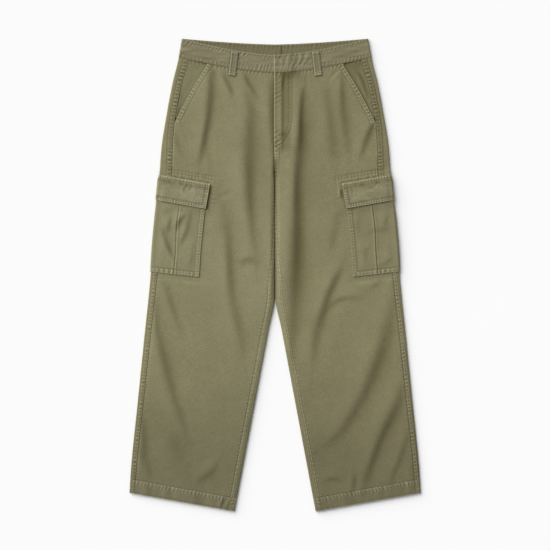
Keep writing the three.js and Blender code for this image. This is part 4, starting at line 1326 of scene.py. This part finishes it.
def make_belt_loop(side, is_front, top_x, end_x):
    sign = SIDES.get(side, 1)
    first = level_at("waist top", LOOP_BELOW_TOP)
    last = level_at("waist seam", LOOP_BELOW_SEAM)
    start = row_at(first).side
    height = row_at(last).side - start

    def centre(level):
        return mix(top_x, end_x, (row_at(level).side - start) / height)

    def near_end(level):
        return reach_to(level, centre(level) + LOOP_WIDTH / 2)

    def far_end(level):
        return reach_to(level, centre(level) - LOOP_WIDTH / 2)

    def down(spot):
        return spot.row.side - start

    def inset(spot):
        across = np.abs(np.abs(spot.x) - centre(spot.level)) if top_x else np.abs(spot.x)
        return LOOP_WIDTH / 2 - across

    def inner(spot):
        if not is_front:
            return np.full_like(spot.x, GAP)
        slack = LOOP_SLACK * window(down(spot), 9, height - 10, 7)
        return 0.5 + slack + 0.1 * smoothstep(down(spot), 38, 50)

    def outer(spot):
        ends = 1 - window(down(spot), 6.5, height - 7.5, 2)
        edge = window(inset(spot), 0.3, 4, 1.6)
        tacks = groove(down(spot) - 3, 1.5) + groove(down(spot) - height + 3, 1.5)
        body = PLY + is_front * (0.75 * PLY * ends + 0.35 * edge - 0.35 * tacks)
        roll = -0.5 * groove(inset(spot), 0.6)
        return inner(spot) + body + roll * is_front

    def surface(spot):
        rungs = window(inset(spot), 0, 4, 2) * ladder(down(spot) + 0.6 * inset(spot), 4.6, top_x)
        # Tone: lighter worn edges and pucker crests, painted shade in a line 4.4 mm in from each edge, and
        # lighter ends.
        tone = 0.4 * groove(inset(spot) - 0.8, 1.0) + 0.3 * rungs - 0.4 * groove(inset(spot) - 4.4, 1.5)
        ends = groove(down(spot) - 2, 1.5) + groove(down(spot) - height + 1, 1.8)
        return outer(spot), tone - 0.06 + 0.4 * ends

    if is_front:
        stops = [(near_end, 0.5), (shifted(near_end, -1), 0.9), (shifted(far_end, 1), 0.5), (far_end, 1)]
    else:
        stops = [(lambda levels: -far_end(levels), 2), (lambda levels: -near_end(levels), 1)]
    name = ("front_" if is_front else "back_") + side
    levels = fine_levels(first, last, 1.15)
    piece = make_sheet("cloth_belt_loop_" + name, levels, spread(*stops), surface, inner, sign, OLIVE_BAND)
    add_sheet_facts("belt_loop_" + name)
    if is_front:
        path = mix(first, last, np.linspace(0.02, 0.98, 60))
        for distance in (LOOP_ROW, LOOP_WIDTH - LOOP_ROW):
            add_stitches("belt_loops", path, near_end(path) + distance, sign, outer)
        for level in (level_at("waist top", LOOP_BELOW_TOP + 3), level_at("waist seam", LOOP_BELOW_SEAM - 3)):
            add_bartack("belt_loops", level, near_end(level) + 1.2, level, far_end(level) - 1.2, sign, outer)


def make_fly_shield():
    levels = fine_levels(level_at("waist seam", HALF_GAP), level_at("fly end", -HALF_GAP), 4)
    columns = spread((shifted(row_length, -SHIELD[1]), 4), (shifted(row_length, -SHIELD[0]), 1))

    def face(depth):
        return lambda spot: np.full_like(spot.x, -depth)

    def surface(spot):
        return face(LAYER)(spot), 0 * spot.x

    piece = make_sheet("cloth_fly_shield", levels, columns, surface, face(LAYER + PLY), 1, OLIVE_FACING)
    add_sheet_facts("fly_shield")


# Thread

THREADS = {}


def keep_row(group, centres, tangents, normals, length):
    """Keeps a row of stitches, each with its middle, direction, normal and length."""
    THREADS.setdefault(group, []).append((centres, tangents, normals, length))


def sampled(where, distance, points):
    return np.stack([np.interp(where, distance, points[:, n]) for n in range(3)], axis=1)


def add_stitches(group, levels, along, sign, outer, is_inside=False):
    """A row of separate stitches along a path on the cloth, or on its inner face."""
    levels, along = np.broadcast_arrays(np.asarray(levels, float), np.asarray(along, float))
    spot = place(levels, along, sign)
    sunk = -0.08 if is_inside else np.where(spot.out[:, 2] < -0.5, -0.25, 0.08)
    points = spot.base + (outer(spot) + sunk)[:, None] * spot.out
    distance = np.concatenate([[0], np.cumsum(np.linalg.norm(np.diff(points, axis=0), axis=1))])
    count = int(distance[-1] // STITCH_PITCH)
    if count < 1:
        return
    centres = (np.arange(count) + 0.5) * distance[-1] / count
    if not is_inside:
        random = np.random.default_rng(len(THREADS.get(group, [])) + 11)
        centres = centres + random.normal(0, 0.05 * STITCH_PITCH, count)
    half = STITCH_LENGTH / 2
    tangents = sampled(centres + half, distance, points) - sampled(centres - half, distance, points)
    normals = (-1 if is_inside else 1) * sampled(centres, distance, spot.out)
    keep_row(group, sampled(centres, distance, points), tangents, normals, STITCH_LENGTH)


def add_bartack(group, level, along, end_level, end_along, sign, outer):
    """A bar of close zigzag thread from one point to another."""
    share = np.linspace(0, 1, 40)
    spot = place(mix(level, end_level, share), mix(along, end_along, share), sign)
    points = spot.base + (outer(spot) + 0.25)[:, None] * spot.out
    total = np.linalg.norm(points[-1] - points[0])
    count = max(3, int(total / TACK_PITCH))
    where = (np.arange(count) + 0.5) / count
    normals = sampled(where, share, spot.out)
    bar = (points[-1] - points[0]) / total
    lean = np.where(np.arange(count) % 2, 0.18, -0.18)[:, None]
    keep_row(group, sampled(where, share, points), np.cross(normals, bar) + lean * bar, normals, TACK_WIDTH)


def write_threads():
    """Each stitch is a small tapered capsule of thread, flat on the cloth."""
    rings = [(-0.5, 0.45, -0.5), (0.0, 1.0, 0.0), (0.5, 0.45, -0.5)]
    sides = 5
    turns = np.arange(sides) * 2 * math.pi / sides
    template = np.array([
        (run, girth * math.cos(turn), girth * math.sin(turn) * 0.8 + sink)
        for run, girth, sink in rings
        for turn in turns
    ])
    faces = []
    for a in range(0, 2 * sides, sides):
        for k in range(sides):
            faces.append((a + k, a + (k + 1) % sides, a + sides + (k + 1) % sides, a + sides + k))
    faces += [tuple(range(sides))[::-1], tuple(range(2 * sides, 3 * sides))]
    for group, rows in THREADS.items():
        blocks = []
        for centres, tangents, normals, length in rows:
            tangent = tangents / np.linalg.norm(tangents, axis=1)[:, None]
            axes = (length * tangent, STITCH_RADIUS * np.cross(normals, tangent), STITCH_RADIUS * normals)
            block = centres[:, None] + sum(template[None, :, n, None] * axes[n][:, None] for n in range(3))
            blocks.append(block.reshape(-1, 3))
        points = np.concatenate(blocks)
        starts = range(0, len(points), len(template))
        loops = [tuple(start + n for n in face) for start in starts for face in faces]
        piece = write_mesh("stitches_" + group, points, loops, {}, THREAD)


def sew_hip_pocket(sign, top):
    levels = np.linspace(top, level_at("slant end", -1), 260)
    for inset in SLANT_ROWS:
        add_stitches("hip_pockets", levels, opening_reach(levels) + inset, sign, front_outer)
    tack = level_at("slant end", -3)
    edge = opening_reach(tack)
    add_bartack("hip_pockets", tack, edge + 0.5, tack, edge + 11, sign, front_outer)
    low = level_at("slant end", 1)
    seam = row_at(low).side_seam
    add_bartack("hip_pockets", low, seam + 0.5, level_at("slant end", 9), seam + 4, sign, front_outer)


def sew_seams(group, sign, top):
    upper = np.linspace(top, level_at("flap top", -1), 260)
    lower = np.linspace(level_at("pocket end", 1), level_at("hem seam", -1), 600)
    for levels in (upper, lower):
        row = row_at(levels)
        for outward in (0 * levels + SEAM_ROW, side_band(row.side) - SEAM_ROW):
            add_stitches(group, levels, row.side_seam - outward, sign, back_outer)
    levels = np.linspace(level_at("flap top", 10), level_at("hem seam", -1), 700)
    row = row_at(levels)
    for inward in INSEAM_ROWS:
        add_stitches(group, levels, inward - row.length - row.inseam, sign, back_outer)


def sew_fly(top):
    levels = np.linspace(top, level_at("fly end", -2), 260)
    add_stitches("fly", levels, row_at(levels).length + FLY_OVERLAP - EDGE_ROW, 1, front_outer)
    for points in FLY_ROWS:
        curve = spline(points, 90)
        add_stitches("fly", *locate(curve[:, 0], curve[:, 1]), 1, front_outer)
    levels = np.linspace(level_at("fly end", 3), level_at("crotch", -2), 120)
    for from_centre in FELLED_ROWS:
        add_stitches("fly", levels, row_at(levels).length - from_centre, 1, front_outer)
    for (x, drop), (to_x, to_drop) in FLY_TACKS:
        (a, b), (c, d) = locate([x, to_x], [drop, to_drop])
        add_bartack("fly", a, c, b, d, 1, front_outer)


def sew_backing(sign):
    """The stitched outline of the backing: above the flap and down beside it."""
    corners = BACKING_CORNERS[sign]
    for path in (np.array(corners[:3]), np.array(corners[2:])):
        share = np.linspace(0, len(path) - 1, 60)
        x, drop = (np.interp(share, range(len(path)), path[:, n]) for n in range(2))
        add_stitches("pocket_backing", *locate(x, drop), sign, front_outer)


def sew_cargo(sign):
    levels = np.linspace(level_at("flap end", 1), level_at("pocket end", -2), 260)
    reach = POCKET_FRONT - NARROWER[sign]
    for inset in POCKET_ROWS:
        add_stitches("cargo_pockets", levels, reach - inset, sign, pocket_outer)
        path = np.linspace(reach - 1.8, 2 - POCKET_BACK, 300)
        add_stitches("cargo_pockets", level_at("pocket end", -inset), path, sign, pocket_outer)
    levels = np.linspace(level_at("flap top", 3), level_at("flap end", -2), 80)
    edge = np.linspace(FLAP_TOP_FRONT, FLAP_END_FRONT, 80) - NARROWER[sign]
    for inset in FLAP_ROWS:
        add_stitches("cargo_flaps", levels, edge - inset, sign, flap_outer)
        path = np.linspace(edge[-1] - 2, 1 - POCKET_BACK, 300)
        add_stitches("cargo_flaps", level_at("flap end", -inset), path, sign, flap_outer)
    path = np.linspace(edge[0] - 2, 1 - POCKET_BACK, 300)
    for inset in FLAP_TOP_ROWS:
        add_stitches("cargo_flaps", level_at("flap top", inset), path, sign, flap_outer)


def sew_band_and_hem(sign):
    for inset, name in ((BAND_TOP_ROW, "waist top"), (-BAND_END_ROW, "waist seam")):
        level = level_at(name, inset)
        length = row_length(level)
        front = np.linspace(length + (0 if sign > 0 else -4), 4, 300)
        add_stitches("waistband", level, front, sign, band_outer)
        back = np.linspace(-4, sign * BAND_BACK_SEAM + 1 - length, 300)
        add_stitches("waistband", level, back, sign, band_outer)
        if name == "waist top":
            add_stitches("waistband", level, back, sign, band_inner, is_inside=True)
    if sign > 0:
        levels = np.linspace(level_at("waist top", BAND_TOP_ROW), level_at("waist seam", -BAND_END_ROW), 40)
        add_stitches("waistband", levels, row_length(levels) + FLY_OVERLAP - EDGE_ROW, sign, band_outer)
    level = level_at("hem seam", HEM_ROW)
    path = np.linspace(row_length(level) - 6, 6 - row_length(level), 600)
    add_stitches("hems", level, path, sign, hem_outer)


def sew_side(side):
    """The rows of stitching on one side of the garment."""
    sign = SIDES[side]
    top = level_at("waist seam", 1)
    sew_hip_pocket(sign, top)
    sew_seams("seams_" + side, sign, top)
    if sign > 0:
        sew_fly(top)
    sew_backing(sign)
    sew_cargo(sign)
    sew_band_and_hem(sign)


for wearer_side in SIDES:
    make_panels(wearer_side)
    make_cargo(wearer_side)
    make_band_and_hem(wearer_side)
    make_belt_loop(wearer_side, True, *FRONT_LOOP)
    make_belt_loop(wearer_side, False, BACK_LOOP, BACK_LOOP)
    sew_side(wearer_side)
make_belt_loop("center", False, 0, 0)
make_fly_shield()
bpy.data.objects["fly_zip"].material_slots[0].material = zip_material()
write_threads()


# Studio

VIEW_WIDTH = 1.21  # metres across the picture
FOCAL = 85.0
SENSOR = 36.0
FLOOR_REACH = 4.0
SUN_STRENGTH = 4.3
SUN_WIDTH = 58  # degrees
SUN_TOWARDS = (1.0, -0.85, -0.82)
SKY_STRENGTH = 0.345


def make_camera():
    camera = bpy.data.cameras.new("camera")
    camera.lens = FOCAL
    camera.sensor_width = SENSOR
    holder = bpy.data.objects.new("camera", camera)
    holder.location = (0, 0, VIEW_WIDTH * FOCAL / SENSOR)
    bpy.context.scene.collection.objects.link(holder)
    bpy.context.scene.camera = holder


def make_floor():
    mesh = bpy.data.meshes.new("floor")
    corners = [(x * FLOOR_REACH, y * FLOOR_REACH, 0) for x, y in ((-1, -1), (1, -1), (1, 1), (-1, 1))]
    mesh.from_pydata(corners, [], [(0, 1, 2, 3)])
    mesh.materials.append(floor_material())
    floor = bpy.data.objects.new("floor", mesh)
    bpy.context.scene.collection.objects.link(floor)


def make_lights():
    sun = bpy.data.lights.new("key", "SUN")
    sun.energy = SUN_STRENGTH
    sun.angle = math.radians(SUN_WIDTH)
    key = bpy.data.objects.new("key", sun)
    key.rotation_euler = Vector(SUN_TOWARDS).to_track_quat("-Z", "Y").to_euler()
    bpy.context.scene.collection.objects.link(key)
    world = bpy.data.worlds.new("studio")
    world.use_nodes = True
    background = world.node_tree.nodes["Background"]
    background.inputs["Color"].default_value = (1, 1, 1, 1)
    background.inputs["Strength"].default_value = SKY_STRENGTH
    bpy.context.scene.world = world


make_floor()
make_camera()
make_lights()
bpy.context.scene.view_settings.view_transform = "Standard"
